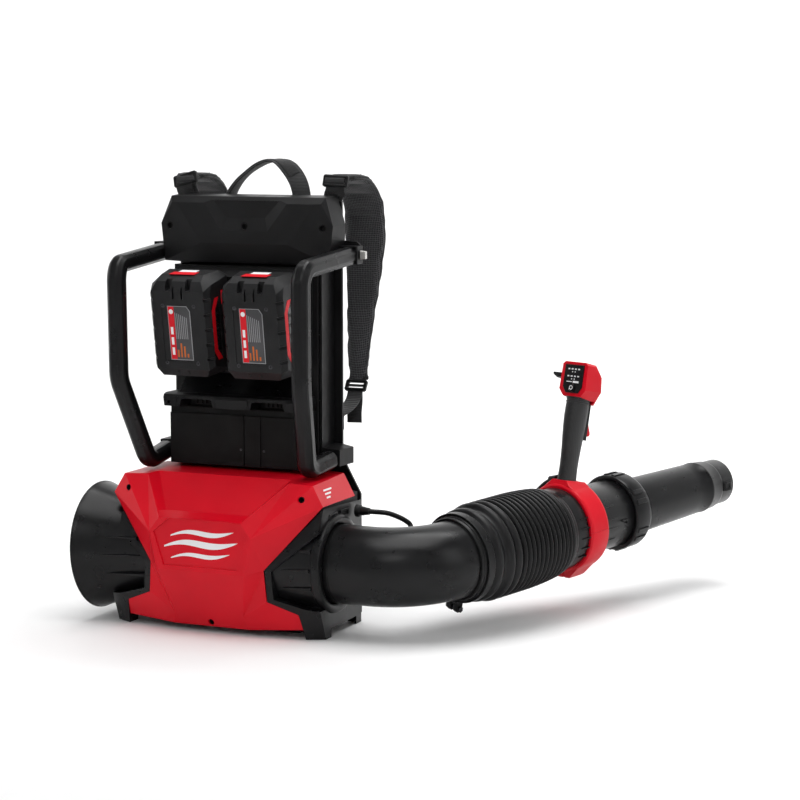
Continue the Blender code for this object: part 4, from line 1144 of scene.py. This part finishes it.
def make_hose():
    """Two bellows with one rigid fold between them, and a cuff at each end."""
    cuff = [(53.6, 0.5), (55.4, 0.3), (56.2, 1.2), (56.4, 4.6), (57.6, 5.2), (57.8, 6.6), (57.8, 22.4),
            (58.8, 24), (61.5, 25.5), (63.4, 28), (63.8, 31), (63.4, 34), (61.8, 36.5), (60.4, 38),
            (60.2, 40)]
    rear = hose_part("hose_rear", cuff + ridge_profile(0, MIDDLE_FOLD), None, "bellows_rear")
    blended(rear)
    hose_part("hose_middle", ridge_profile(MIDDLE_FOLD, MIDDLE_FOLD + 1), "hose", "hose_ring")
    cuff = [(60.6, 174), (61.6, 175), (61.6, 179), (60.6, 180.6), (59.4, 181.4), (59.2, 186), (58.4, 187.4),
            (57.6, 187.8)]
    outline = ridge_profile(MIDDLE_FOLD + 1, len(GROOVES) - 1) + cuff
    front = hose_part("hose_front", outline, None, "bellows_front")
    blended(front)


def make_hose_clamp():
    """The screwed band on the hose's rear cuff, with its pair of lugs under it."""
    band = [(58.2, 8.5), (60.2, 8.3), (61.0, 9.2), (61.0, 19.8), (60.2, 20.7), (58.2, 20.5)]
    piece("clamp_band", lathe(band, 120), SATIN, "chassis", "hose_clamp", TUBE, edge=0.3, angle=25)
    lug = ((-59, 8.5), (-59, 20.5), (-73.5, 9.2), (-76.5, 12), (-76.5, 17), (-73.5, 19.8))
    foot = ((-59, 5), (-59, 24), (-63.5, 9), (-63.5, 20))
    lugs = [slab(lug, 2.2, 9.6, "x"), slab(lug, -9.6, -2.2, "x")]
    lugs += [box((-3, 3), (-66, -59), (9.5, 19.5)), slab(foot, -9, 9, "x")]
    below = TUBE @ Matrix.Rotation(math.radians(12), 4, "Z")
    piece("clamp_lugs", joined(*lugs), BLACK, "chassis", place=below, edge=0.8)
    bolt = joined(hoop(0, 2.5, -9, 9, 20), hoop(0, 4.6, 9.4, 12.2), prism(polygon(4.4, 6), "z", -12.4, -9.4))
    across = facing_right(0, -71.5, 14.5)
    piece("clamp_bolt", bolt, DARK_STEEL, "chassis", place=below @ across, edge=0.3)


def ribs_round(outline, half, turns):
    """The same small rib at several angles round the tube, given by its (radius, station) corners."""
    return [spun(slab(outline, -half, half), degrees) for degrees in turns]


def make_front_tube():
    """The cuff in the hose's mouth with its fins, and the sleeve with its moulded marks."""
    cuff = [(47.8, 174), (56.2, 174), (56.8, 175), (57, 198), (57.0, 208.6), (56.4, 211.6), (47.8, 211.6)]
    fins = ribs_round([(55.5, 194), (55.5, 211.8), (58.6, 198), (59.6, 211.8)], 0.7,
                      (158, 172, 186, 200, 214, 330, 344, 358, 12, 26))
    piece("tube_cuff", lathe(cuff, 120), SATIN, "tube", "front_cuff", TUBE, flat_angle=30)
    piece("cuff_fins", joined(*fins), SATIN, "tube", place=TUBE, edge=0.3)
    wall = [(44.5, 180), (47.5, 180), (47.5, 329), (47.0, 330), (44.5, 330)]
    piece("tube_sleeve", lathe(wall, 120), SATIN, "tube", "front_tube", TUBE, flat_angle=30)
    marks = ribs_round([(46.5, 250), (46.5, 284), (48.7, 251), (48.2, 281)], 0.9,
                       (150, 172, 188, 210, 330, 352, 8, 30))
    for degrees in (180, 0):
        marks.append(spun(slab([(46.5, 290), (46.5, 302), (49.6, 292), (49.6, 300)], -1.6, 1.6), degrees))
        marks.append(spun(slab([(46.5, 299), (46.5, 302), (49.4, 299.4), (49.4, 301.6)], -1.6, 5.0), degrees))
    piece("tube_marks", joined(*marks), SATIN, "tube", place=TUBE, edge=0.4)


def make_collar():
    """The lock ring: a chamfered band with grips round it, over the nozzle's root."""
    seat = 330.3
    band = [(48.3, 318), (51.5, 317.8), (53.6, 319.2), (54.2, 321), (54.2, 344), (53.4, 346.4), (50.4, 351),
            (49.4, 352), (40.4, 352), (40.4, seat), (48.3, seat)]
    pair_half_gap = math.degrees(0.13)
    turns = [60 * k + 30 + shift * pair_half_gap for k in range(6) for shift in (-1, 1)]
    grips = ribs_round([(53, 320), (53, 345), (55.8, 322), (55.8, 340), (54.3, 345)], 3.4, turns)
    piece("collar_ring", lathe(band, 120), SATIN, "collar", "lock_collar", TUBE, flat_angle=28)
    piece("collar_grips", joined(*grips), SATIN, "collar", place=TUBE, edge=0.7)


def make_nozzle():
    """The sliding nozzle with its seam, its narrower tip, and the small latch that holds the tip."""
    outer = [(40, 262), (40, 360), (39.9, 374), (39.0, 410), (38.1, 445), (37.2, 480), (36.6, 507),
             (37.3, 508.2), (37.3, 511), (36.6, 512.2), (35.4, 530), (34.4, 534), (33.6, 535)]
    inner = [(33.3, 535), (33.3, 504), (34.2, 500), (37.8, 374), (37.8, 262)]
    piece("nozzle_body", lathe(outer + inner, 120), SATIN, "nozzle", "nozzle_tube", TUBE, flat_angle=40)
    tip = [(30.8, 505), (33, 505), (33, 559.5), (32.4, 561), (31.2, 561), (30.8, 560)]
    piece("tip_tube", lathe(tip, 112), SATIN, "nozzle", "nozzle_tip", TUBE, flat_angle=30)
    lug = slab([(-31.8, 536), (-31.8, 556), (-36.0, 538), (-36.0, 552), (-34, 556)], -5, 5)
    slot = box((-40, -34.6), (-3.2, 3.2), (541, 549))
    ears = [slab([(-31.5, 534), (-31.5, 558), (-37, 541), (-37, 551)], s * 5, s * 6.8) for s in (1, -1)]
    piece("tip_latch", combined(lug, [slot]), BLACK, "nozzle", place=TUBE, edge=0.5)
    piece("tip_ears", joined(*ears), BLACK, "nozzle", place=TUBE, edge=0.4)


# ---------------------------------------------------------------- control handle

def half_ring(profile, upper):
    """One half of a turned ring, split on the tube's level line."""
    off = box((-90, 90), (-90, 0.15) if upper else (-0.15, 90), (190, 270))
    return combined(lathe(profile, 120), [off])


def make_handle_clamp():
    """The two halves of the clamp: the upper one rises to the grip, the lower one has a split lug."""
    band = [(48.4, 212), (59.5, 212), (61.6, 213.6), (62.4, 216), (62.4, 244), (61.6, 246.4), (59.5, 248),
            (48.4, 248)]
    on_tube = TUBE.inverted() @ HAND
    seat = [tuple(on_tube @ Vector((x, y, 3.5))) for x in (-13, 13) for y in (-15, 15)]
    neck = hull(mirrored([(29, 55, 215), (29, 55, 246), (20, 60.5, 214), (20, 60.5, 247)]) + seat)
    upper = combined(half_ring(band, True), [neck], "UNION")
    piece("grip_clamp_upper", upper, RED, "handle", "handle_clamp_upper", TUBE, edge=2.0, angle=16,
          segments=4)
    lug = hull(mirrored([(30, -54, 213), (30, -54, 247), (13, -70, 215), (13, -70, 245), (10, -72, 217),
                         (10, -72, 243)]))
    lower = combined(half_ring(band, False), [lug], "UNION")
    lower = combined(lower, [box((-2.0, 2.0), (-80, -64), (200, 260))])
    piece("grip_clamp_lower", lower, RED, "handle", "handle_clamp_lower", TUBE, edge=1.0, angle=24)


# height, half width, half depth and how far back each ring of the grip sits
GRIP_RINGS = [(2.0, 11.8, 13.8, 0), (11, 11.5, 13.5, 0), (20, 11.2, 13.2, 0), (34, 11.3, 13.6, 0),
              (50, 11.9, 14.6, 0), (64, 12.6, 15.8, 0.2), (80, 13.5, 16.8, 0.3), (95, 14.2, 17.0, 0.2),
              (106, 14.6, 16.4, 0), (112, 14.6, 15.6, 0), (112.5, 15.4, 16.2, 0), (114.3, 15.4, 16.2, 0),
              (114.8, 14.7, 15.6, 0), (116.0, 14.7, 15.6, 0), (116.5, 15.4, 16.0, 0), (120, 15.6, 16.0, 0)]
TRIGGER_KNOTS = [(4.5, 1, 0), (-0.5, 2.4, 0), (-5.5, -3, 0), (-7.6, -15, 0), (-10.4, -27, 0), (-15.6, -38, 0),
                 (-14, -42.5, 0), (-9.5, -41, 0), (-3.5, -29, 0), (1, -13, 0), (4.5, 1, 0)]


def make_grip():
    """The rubber over-mould, oval and slightly swollen for the palm, with two rings under the head."""
    path = [(0, shift, height) for height, _, _, shift in GRIP_RINGS]
    sections = [oval(half_x, half_y) for _, half_x, half_y, _ in GRIP_RINGS]
    slot = box((-6.5, 6.5), (-30, -3), (62, 114))
    grip = combined(sweep(path, lambda k: sections[k], X), [slot])
    piece("grip", grip, GRIP, "handle", "handle_grip", HAND, flat_angle=35)
    cheeks = [box((s * 8.2 - 1.2, s * 8.2 + 1.2), (-18.6, -10), (62, 116)) for s in (1, -1)]
    piece("grip_cheeks", joined(*cheeks), BLACK, "handle", place=HAND, edge=0.8)
    outline = [(p.x, p.y) for p in smooth_path(TRIGGER_KNOTS, 4)[:-1]]
    lever = prism(outline, "x", -5.9, 5.9)
    place = HAND @ Matrix.Translation(TRIGGER_PIVOT)
    piece("trigger_lever", lever, RED, "trigger", "trigger", place, edge=1.2, angle=40)


HEAD_CORNERS = [(12, -20, 111.5), (16, 15, 120.3), (16.5, -18, 119), (23.5, -19, 131), (24, 15.6, 129.5),
                (24.2, -15.5, 151), (22.8, 15.6, 164.5), (19, -6, 167), (18.5, 15.6, 168.2), (21.5, -5, 165)]
BUTTON_PLACE = facing_back(0, 0, 132)


def button_hole():
    return placed(hoop(0, 5.6, 10, 30, 40), BUTTON_PLACE)


def make_head():
    """The control head: a bevelled block with a throat for the grip and a display let into it."""
    throat = box((-15.6, 15.6), (-16.4, 17.3), (100, 120.3))
    seat = [(-17.4, 164.4), (-17.6, 133), (-11.4, 124.4), (11.4, 124.4), (17.6, 133), (17.4, 164.4)]
    head = combined(hull(mirrored(HEAD_CORNERS)), [throat, prism(seat, "y", 14.7, 30)])
    head = combined(head, [button_hole()])
    piece("head_body", head, RED, "handle", "control_head", HAND, edge=1.8, angle=14, segments=4)
    face = [(-17, 163.9), (-17.2, 133.2), (-11.1, 124.9), (11.1, 124.9), (17.2, 133.2), (17, 163.9)]
    display = combined(prism(face, "y", 14.8, 16.9), [button_hole()])
    piece("display_face", display, BLACK, "handle", "display_panel", HAND, edge=0.6)
    lamps = []
    for z in (158, 148):
        lamps += [box((x - 1.6, x + 1.6), (16.8, 17.15), (z - 0.9, z + 0.9)) for x in (-9, -3, 3, 9)]
        lamps += [box((x - 0.8, x + 0.8), (16.8, 17.1), (z - 4.6, z - 3.2)) for x in (-2.5, 2.5)]
    lamps.append(box((1.5, 11), (16.8, 17.1), (139.6, 140.8)))
    lamps.append(box((-11, -0.5), (16.8, 17.1), (138.8, 141.6)))
    piece("display_lamps", joined(*lamps), WHITE_PRINT, "handle", place=HAND)


def make_controls():
    """The power button with its ring mark, and the thumb lever on its disc."""
    button = lathe([(0, 10), (5.2, 10), (5.2, 18.0), (4.7, 18.6), (4.0, 18.8), (0, 18.5)], 48)
    place = HAND @ BUTTON_PLACE
    piece("button_cap", button, MATT, "button", "power_button", place, flat_angle=35)
    stroke = prism([(1.6, 1.2), (2.2, 0.6), (3.9, 2.6), (3.3, 3.2)], "z", 18.4, 18.98)
    piece("button_mark", joined(hoop(2.1, 3.1, 18.4, 18.95, 36), stroke), WHITE_PRINT, "button", place=place)
    profile = [(0, 24.6), (8.2, 24.6), (8.5, 25.0), (8.5, 27.4), (7.6, 28.2), (0, 28.2)]
    disc = placed(lathe(profile, 40), facing_right(0, 0, 146))
    paddle = hull([(26, -3, 142.5), (26, 12, 146), (26, 12, 152), (26, -3, 150.5), (42, -2, 146.5),
                   (43, 10.5, 149), (42.4, 11.5, 152), (41, -2, 151.5), (34, 12.6, 144.6), (33, -3, 142.5)])
    piece("lever_disc", combined(disc, [paddle], "UNION"), BLACK, "lever", "thumb_lever", HAND, edge=0.7)


# ---------------------------------------------------------------- control lead

LEAD_REACH = 72.5
LEAD_RADIUS = 3.5


def tube_points(*corners):
    """Points given from the tube's line: to the left, upwards, and by station."""
    return [TUBE @ Vector(corner) for corner in corners]


def lead_part(name, path, body, stands_for):
    return piece(name, bar(path, LEAD_RADIUS, 20), CABLE_RUBBER, body, stands_for, flat_angle=60)


def make_lead():
    """The lead from the gland, clipped along the hose, to the handle's neck."""
    rear = [(162, 14, 158), (170, 14, 158), (180, 14.5, 158), (203, 28, 154), (222, 48, 138)]
    rear += tube_points((LEAD_REACH, 22, -8), (LEAD_REACH, 5, 8), (LEAD_REACH, 0, 17), (LEAD_REACH, 0, 22))
    lead_part("lead_rear", smooth_path(rear, 10), "chassis", "cable_rear")
    halfway = tube_points((LEAD_REACH, 0, HOSE_MID))
    line = tube_points(*[(LEAD_REACH, 0, station) for station in range(22, 120, 4)])
    half = lead_part("lead_hose_rear", line + halfway, None, "cable_hose")
    blended(half)
    line = tube_points(*[(LEAD_REACH, 0, station) for station in range(126, 186, 4)])
    line += tube_points(*[(72.2 - 0.4 * k, 0, 190 + 4.2 * k) for k in range(5)])
    half = lead_part("lead_hose_front", halfway + line, None, "cable_hose")
    blended(half)
    end = tube_points((70.7, 0, 206.8), (70.2, 1, 212), (69, 12, 220), (61, 34, 228), (45.5, 50, 230),
                      (33, 58.5, 231), (20, 63.0, 231))
    lead = lead_part("lead_front", smooth_path(end, 10), None, "cable_front")
    blended(lead)


def make_lead_clips():
    """Two clips hold the lead off the hose's ends, and a sleeve takes it into the handle's neck."""
    clips = (("clip_rear", 14.5, 60.6, LEAD_REACH, "chassis"), ("clip_front", 203, 56.6, 70.9, "tube"))
    for name, station, root, centre, body in clips:
        web = box((root - centre - 1.5, -3.4), (-2.2, 2.2), (-4, 4))
        clip = joined(hoop(3.7, 5.6, -4.5, 4.5, 36), web)
        piece(name, clip, BLACK, body, place=TUBE @ Matrix.Translation((centre, 0, station)), edge=0.4)
    sleeve = lathe([(3.6, 0), (6.2, 0), (5.8, 3), (4.8, 14), (3.6, 14)], 32)
    along = Vector((13.5, -2.0, 0)).normalized()
    place = TUBE @ axes_at((16, 64.0, 231), Z, Z.cross(along), along)
    piece("lead_sleeve", sleeve, CABLE_RUBBER, "handle", place=place)


# ---------------------------------------------------------------- harness

PAD_PATH = [(114, 54, 598.5), (116, 68, 601), (117, 88, 598), (117, 112, 582), (117, 130, 553),
            (115, 138, 516), (113, 140, 478), (111, 138, 440), (110, 131, 400), (112, 121, 362),
            (116, 106, 322)]
PAD_HALF_W = [17, 22, 28, 30, 30, 30, 28, 24, 20, 17, 12]
PAD_STEPS = 4


def puffed(bm, cap, pressure, voxel=5.0, frames=20):
    """The closed mesh blown up as cloth, with no point moving further than the cap."""
    held = linked_object(placed(bm, Matrix.Scale(MM, 4)))
    step = held.modifiers.new("even", "REMESH")
    step.mode = "VOXEL"
    step.voxel_size = voxel * MM
    even = evaluated(held)
    even = blown_up(even, cap * MM, pressure, frames)
    bmesh.ops.smooth_vert(even, verts=even.verts, factor=0.5, use_axis_x=True, use_axis_y=True,
                          use_axis_z=True)
    return placed(even, Matrix.Scale(1 / MM, 4))


def blown_up(bm, cap, pressure, frames):
    """Runs the cloth with air pressure inside and no gravity; sizes are in metres."""
    start = [v.co.copy() for v in bm.verts]
    held = linked_object(bm)
    cloth = held.modifiers.new("cloth", "CLOTH")
    cloth.settings.use_pressure = True
    cloth.settings.uniform_pressure_force = pressure
    cloth.settings.effector_weights.gravity = 0
    cloth.point_cache.frame_start = 1
    cloth.point_cache.frame_end = frames
    for number in range(1, frames + 1):
        bpy.context.scene.frame_set(number)
    out = evaluated(held)
    bpy.context.scene.frame_set(1)
    for vert, before in zip(out.verts, start):
        move = vert.co - before
        if move.length > cap:
            vert.co = before + move.normalized() * cap
    return out


def nearest_step(point, path):
    """The index of the path point nearest to the point."""
    return min(range(len(path)), key=lambda k: (path[k] - point).length_squared)


def strap_frames(path):
    """Along, across and outwards at each point of a strap that runs over the shoulder."""
    frames = []
    for k in range(len(path)):
        along = (path[min(k + 1, len(path) - 1)] - path[max(k - 1, 0)]).normalized()
        across = (X - along * along.x).normalized()
        frames.append((along, across, across.cross(along)))
    return frames


def on_skin(tree, point, out, sink):
    """Where a line coming in from outside meets the pad, sunk a little into it."""
    hit = tree.ray_cast(point + out * 60, out * -1)[0]
    return (hit or point) - out * sink


def pad_widths(count):
    """Half the pad's width at each point of its path."""
    widths = []
    for k in range(count):
        knot = min(k // PAD_STEPS, len(PAD_HALF_W) - 2)
        share = k % PAD_STEPS / PAD_STEPS
        following = PAD_HALF_W[min(k // PAD_STEPS + 1, len(PAD_HALF_W) - 1)]
        widths.append(PAD_HALF_W[knot] * (1 - share) + following * share)
    return widths


def make_shoulder_pad(sign, side):
    """A puffed pad over the shoulder: cloth outside, air mesh on the inside of the arch."""
    path = smooth_path(sided(sign, PAD_PATH), PAD_STEPS)
    count = len(path)
    widths = pad_widths(count)
    halves = [3.2 if k in (0, count - 1) else 4.4 for k in range(count)]
    pad = sweep(path, lambda k: rounded(widths[k] + 1.4, halves[k], 2.5, 2), X)
    pad = finer(puffed(pad, 3.4, 4.0, 4.5))
    skin = BVHTree.FromBMesh(pad)
    name = "shoulder_pad_" + side
    made = piece(name + "_cushion", pad, NYLON, "chassis", name, flat_angle=180)
    made.data.materials.append(MESH_FABRIC)
    frames = strap_frames(path)
    for face in made.data.polygons:
        centre = face.center / MM
        k = nearest_step(centre, path)
        inside = (centre - path[k]).dot(frames[k][2]) < 0
        face.material_index = 1 if inside else 0
    make_pad_trim(side, skin, path, frames, widths)


def make_pad_trim(side, skin, path, frames, widths):
    """Piping round both edges of a shoulder pad, and a row of stitches inside each."""
    count = len(path)
    cords = []
    stitches = []
    for s in (1, -1):
        line = [on_skin(skin, path[k], frames[k][1] * s, 0.5) for k in range(2, count - 2)]
        cords.append(bar(line, 1.7, 10))
        for k in range(6, count - 5):
            along, across, out = frames[k]
            root = path[k] + across * s * (widths[k] - 6.5)
            start = on_skin(skin, root, out, -0.1)
            end = on_skin(skin, root + along * 3.4, out, -0.1)
            stitches.append(bar([start, (start + end) / 2 + out * 0.2, end], 0.45, 6))
    piece("shoulder_piping_" + side, joined(*cords), PIPING, "chassis", flat_angle=60)
    piece("shoulder_stitches_" + side, joined(*stitches), PIPING, "chassis", flat_angle=60)


def strap(name, path, half_width, finish, stands_for=None, half_thick=0.9, side=X):
    """A flat webbing along a path; its width lies along the side."""
    section = rounded(half_width, half_thick, half_thick * 0.8, 2)
    piece(name, sweep(path, lambda k: section, side), finish, "chassis", stands_for, flat_angle=60)


def ladder_buckle(half_w):
    """A moulded frame with two windows, in its own plane: X across, Y along the strap, Z out."""
    depth, length, windows, rim = 4.5, 17.0, 2, 2.6
    outline = prism(rounded(half_w, length / 2, 3.0, 3), "z", -depth / 2, depth / 2)
    room = length - 5.0
    pitch = room / windows
    half_gap = (pitch - rim) / 2
    gaps = []
    for k in range(windows):
        middle = -room / 2 + pitch * (k + 0.5)
        gap = [(x, y + middle) for x, y in rounded(half_w - 4.5, half_gap, 1.2, 2)]
        gaps.append(prism(gap, "z", -20, 20))
    rods = []
    for y in (-length / 2 + 2.4, length / 2 - 2.4):
        rods.append(bar([(x, y, depth * 0.35) for x in (2 - half_w, 0, half_w - 2)], 1.9, 14))
    return joined(combined(outline, gaps), *rods)


def make_upper_straps(sign, side):
    """From the frame up through the buckle and into the pad's top. The left buckle hangs a little askew."""
    upper = [(108, 47.3, 545), (108, 47.3, 572), (112, 45.5, 584), (114, 45, 597)]
    strap("upper_strap_" + side, smooth_path(sided(sign, upper), 6), 14, WEBBING, "upper_webbing_" + side)
    loop = [(114, 44, 589), (114, 40.5, 599), (114, 45, 606), (114.5, 53, 603), (115, 62, 600.5)]
    strap("upper_loop_" + side, smooth_path(sided(sign, loop), 6), 14, WEBBING)
    tail = [(115, 45, 578), (115.5, 41, 586), (115, 40, 594)]
    strap("upper_tail_" + side, smooth_path(sided(sign, tail), 5), 13, NYLON)
    lean = 0.27 if sign < 0 else -0.045
    across = Vector((1, 0, lean)).normalized()
    out = Vector((0, -1, 0.25)).normalized()
    out = (out - across * out.dot(across)).normalized()
    place = axes_at((sign * 115, 43, 598.5), across, out.cross(across), out)
    buckle = ladder_buckle(18.5)
    piece("upper_lock_" + side, buckle, BLACK, "chassis", "upper_buckle_" + side, place, edge=0.6)


def make_lower_straps(sign, side):
    """From the pad's foot through its buckle to the frame, with the loose end hanging."""
    lower = [(116, 102, 312), (117, 92, 299), (118, 74, 290), (117, 58, 285), (113, 49, 280),
             (113, 47.6, 262)]
    strap("lower_strap_" + side, smooth_path(sided(sign, lower), 6), 11, WEBBING, "lower_webbing_" + side)
    along = Vector((0, 0.55, 0.83)).normalized()
    out = Vector((0, -0.83, 0.55)).normalized()
    place = axes_at((sign * 116, 104, 316), X, along, out)
    piece("lower_lock_" + side, ladder_buckle(16), BLACK, "chassis", place=place, edge=0.6)
    tail = [(116, 101, 310), (117, 99, 296), (118.5, 93, 281), (119, 92, 266)]
    strap("lower_tail_" + side, smooth_path(sided(sign, tail), 6), 11, WEBBING)


# each pad's right-hand corners, how full it is, and its piping's half width, foot and top
CUSHIONS = {
    "back": ([(97, 48, 516), (93, 60, 507), (83, 68, 497), (97, 48, 334), (93, 60, 340), (83, 68, 350)],
             0.7, (99, 331, 519)),
    "lumbar": ([(95, 48, 318), (90, 67, 309), (84, 78, 294), (95, 48, 230), (90, 67, 235), (84, 78, 248)],
               0.75, (97, 227, 321)),
}


def make_cushions():
    """Back and lumbar pads: air mesh over foam, with piping round each."""
    for name, (corners, fill, _) in CUSHIONS.items():
        pad = finer(puffed(hull(mirrored(corners)), 4.5, 4.0, 6.0))
        made = piece(name + "_cushion", pad, MESH_FABRIC, "chassis", name + "_pad", flat_angle=180)
    for name, (_, _, (w, low, high)) in CUSHIONS.items():
        corners = [(0, low), (-w, low), (-w, high), (w, high), (w, low), (0, low)]
        loop = fillet([(x, 48.3, z) for x, z in corners], 12, 5)
        piece(name + "_piping", bar(loop, 1.9, 10), PIPING, "chassis", flat_angle=60)


def make_carry_loop():
    """The lifting loop: a webbing that twists a little as it goes over, with a thicker middle."""
    knots = [(-57, 60, 530), (-57, 60, 566), (-45, 62, 592), (-24, 65, 612), (0, 67, 624), (22, 67, 622.5),
             (42, 65, 606), (54, 62, 580), (57, 60, 530)]
    path = smooth_path(knots, 6)
    count = len(path) - 1
    core_start = 8

    def turned(k):
        share = k / count
        twist = min(1.0, max(0.0, (share - 0.35) / 0.35))
        angle = math.radians(70 - 56 * twist + 22 * math.sin(share * math.pi))
        return (math.cos(angle), math.sin(angle), 0)

    strap("carry_loop", path, 12.5, WEBBING, "carry_handle", 1.2, turned)
    section = rounded(9.0, 2.3, 1.6, 2)
    core = sweep(path[core_start:-12], lambda k: section, lambda k: turned(k + core_start))
    piece("carry_core", core, NYLON, "chassis", flat_angle=60)


# ---------------------------------------------------------------- studio

FLOOR_RADIUS = 5.0
COVE_RADIUS = 1.5
WALL_HEIGHT = 6.0
# the floor lies a hair under the feet
FLOOR_DROP = 0.0005


def stage_material():
    mat = material("studio_white", 0.75, specular=0.2)
    shader_of(mat).inputs["Base Color"].default_value = (0.86, 0.86, 0.86, 1)
    bump(mat, noise_of(mat, place_texture(mat), 30.0), 0.02)
    return mat


def make_floor():
    """A pale sweep: floor, cove and wall in one sheet, all round, in metres."""
    flat = FLOOR_RADIUS - COVE_RADIUS
    profile = [(0.0, 0.0), (flat, 0.0)]
    for k in range(1, 13):
        a = math.pi / 2 * k / 12
        profile.append((flat + COVE_RADIUS * math.sin(a), COVE_RADIUS * (1 - math.cos(a))))
    profile.append((FLOOR_RADIUS, WALL_HEIGHT))
    sheet = placed(lathe(profile, 96, open_ends=True), Matrix.Translation((0.2, 0, -FLOOR_DROP)))
    made = linked_object(sheet, "floor")
    made.data.shade_smooth()
    made.data.materials.append(stage_material())


def area_light(name, place, target, size, power, size_y=None):
    data = bpy.data.lights.new(name, "AREA")
    data.energy = power
    data.size = size
    if size_y:
        data.shape = "RECTANGLE"
        data.size_y = size_y
    made = bpy.data.objects.new(name, data)
    made.location = place
    made.rotation_euler = (Vector(target) - Vector(place)).to_track_quat("-Z", "Y").to_euler()
    bpy.context.scene.collection.objects.link(made)


CAMERA_TARGET = Vector((0.2285, 0, 0.313))
CAMERA_AZIMUTH = math.radians(24.01)
CAMERA_ELEVATION = math.radians(6.97)
CAMERA_DISTANCE = 3.1002
CAMERA_LENS = 105.57


def make_camera():
    level = math.cos(CAMERA_ELEVATION)
    across, towards = math.sin(CAMERA_AZIMUTH) * level, -math.cos(CAMERA_AZIMUTH) * level
    back = Vector((across, towards, math.sin(CAMERA_ELEVATION)))
    data = bpy.data.cameras.new("camera")
    data.lens = CAMERA_LENS
    data.sensor_width = 36.0
    made = bpy.data.objects.new("camera", data)
    made.location = CAMERA_TARGET + back * CAMERA_DISTANCE
    made.rotation_euler = back.to_track_quat("Z", "Y").to_euler()
    bpy.context.scene.collection.objects.link(made)
    bpy.context.scene.camera = made


def make_studio():
    """A dim white world and five soft lights; the back wash lights the wall behind the object."""
    scene = bpy.context.scene
    scene.view_settings.view_transform = "Standard"
    scene.view_settings.look = "None"
    world = bpy.data.worlds.new("studio")
    scene.world = world
    world.use_nodes = True
    background = world.node_tree.nodes["Background"]
    background.inputs["Color"].default_value = (1, 1, 1, 1)
    background.inputs["Strength"].default_value = 0.15
    make_floor()
    area_light("overhead", (0.3, -0.1, 2.6), (0.25, 0, 0.2), 2.0, 54)
    area_light("back_wash", (0.2, 1.6, 3.6), (0.0, 5.0, 1.2), 2.5, 170)
    area_light("left_bank", (-2.4, -1.0, 1.4), (0.1, 0, 0.3), 0.7, 9, 2.0)
    area_light("right_bank", (2.8, -0.4, 1.4), (0.3, 0, 0.3), 0.7, 9, 2.0)
    area_light("front_fill", (1.0, -3.2, 2.6), (0.2, 0, 0.3), 1.2, 16)


# ---------------------------------------------------------------- everything, in place

make_camera()
make_cover()
make_cover_graphic()
make_shroud(1, "outlet_housing", "outlet")
make_outlet_collar()
make_outlet_ribs()
make_shroud(-1, "intake_housing", "intake")
make_vents()
make_base()
make_intake()
make_back_frame()
make_head_cover()
make_panels()
make_base_panel()
make_dock()
for sign, side in SIDES:
    make_guard_bar(sign, side)
for sign, side in SIDES:
    make_battery(sign, side)
finish_fan()
make_elbow()
make_hose()
make_hose_clamp()
make_front_tube()
make_collar()
make_nozzle()
make_handle_clamp()
make_grip()
make_head()
make_controls()
make_lead()
make_lead_clips()
for sign, side in SIDES:
    make_shoulder_pad(sign, side)
    make_upper_straps(sign, side)
    make_lower_straps(sign, side)
make_cushions()
make_carry_loop()
make_studio()
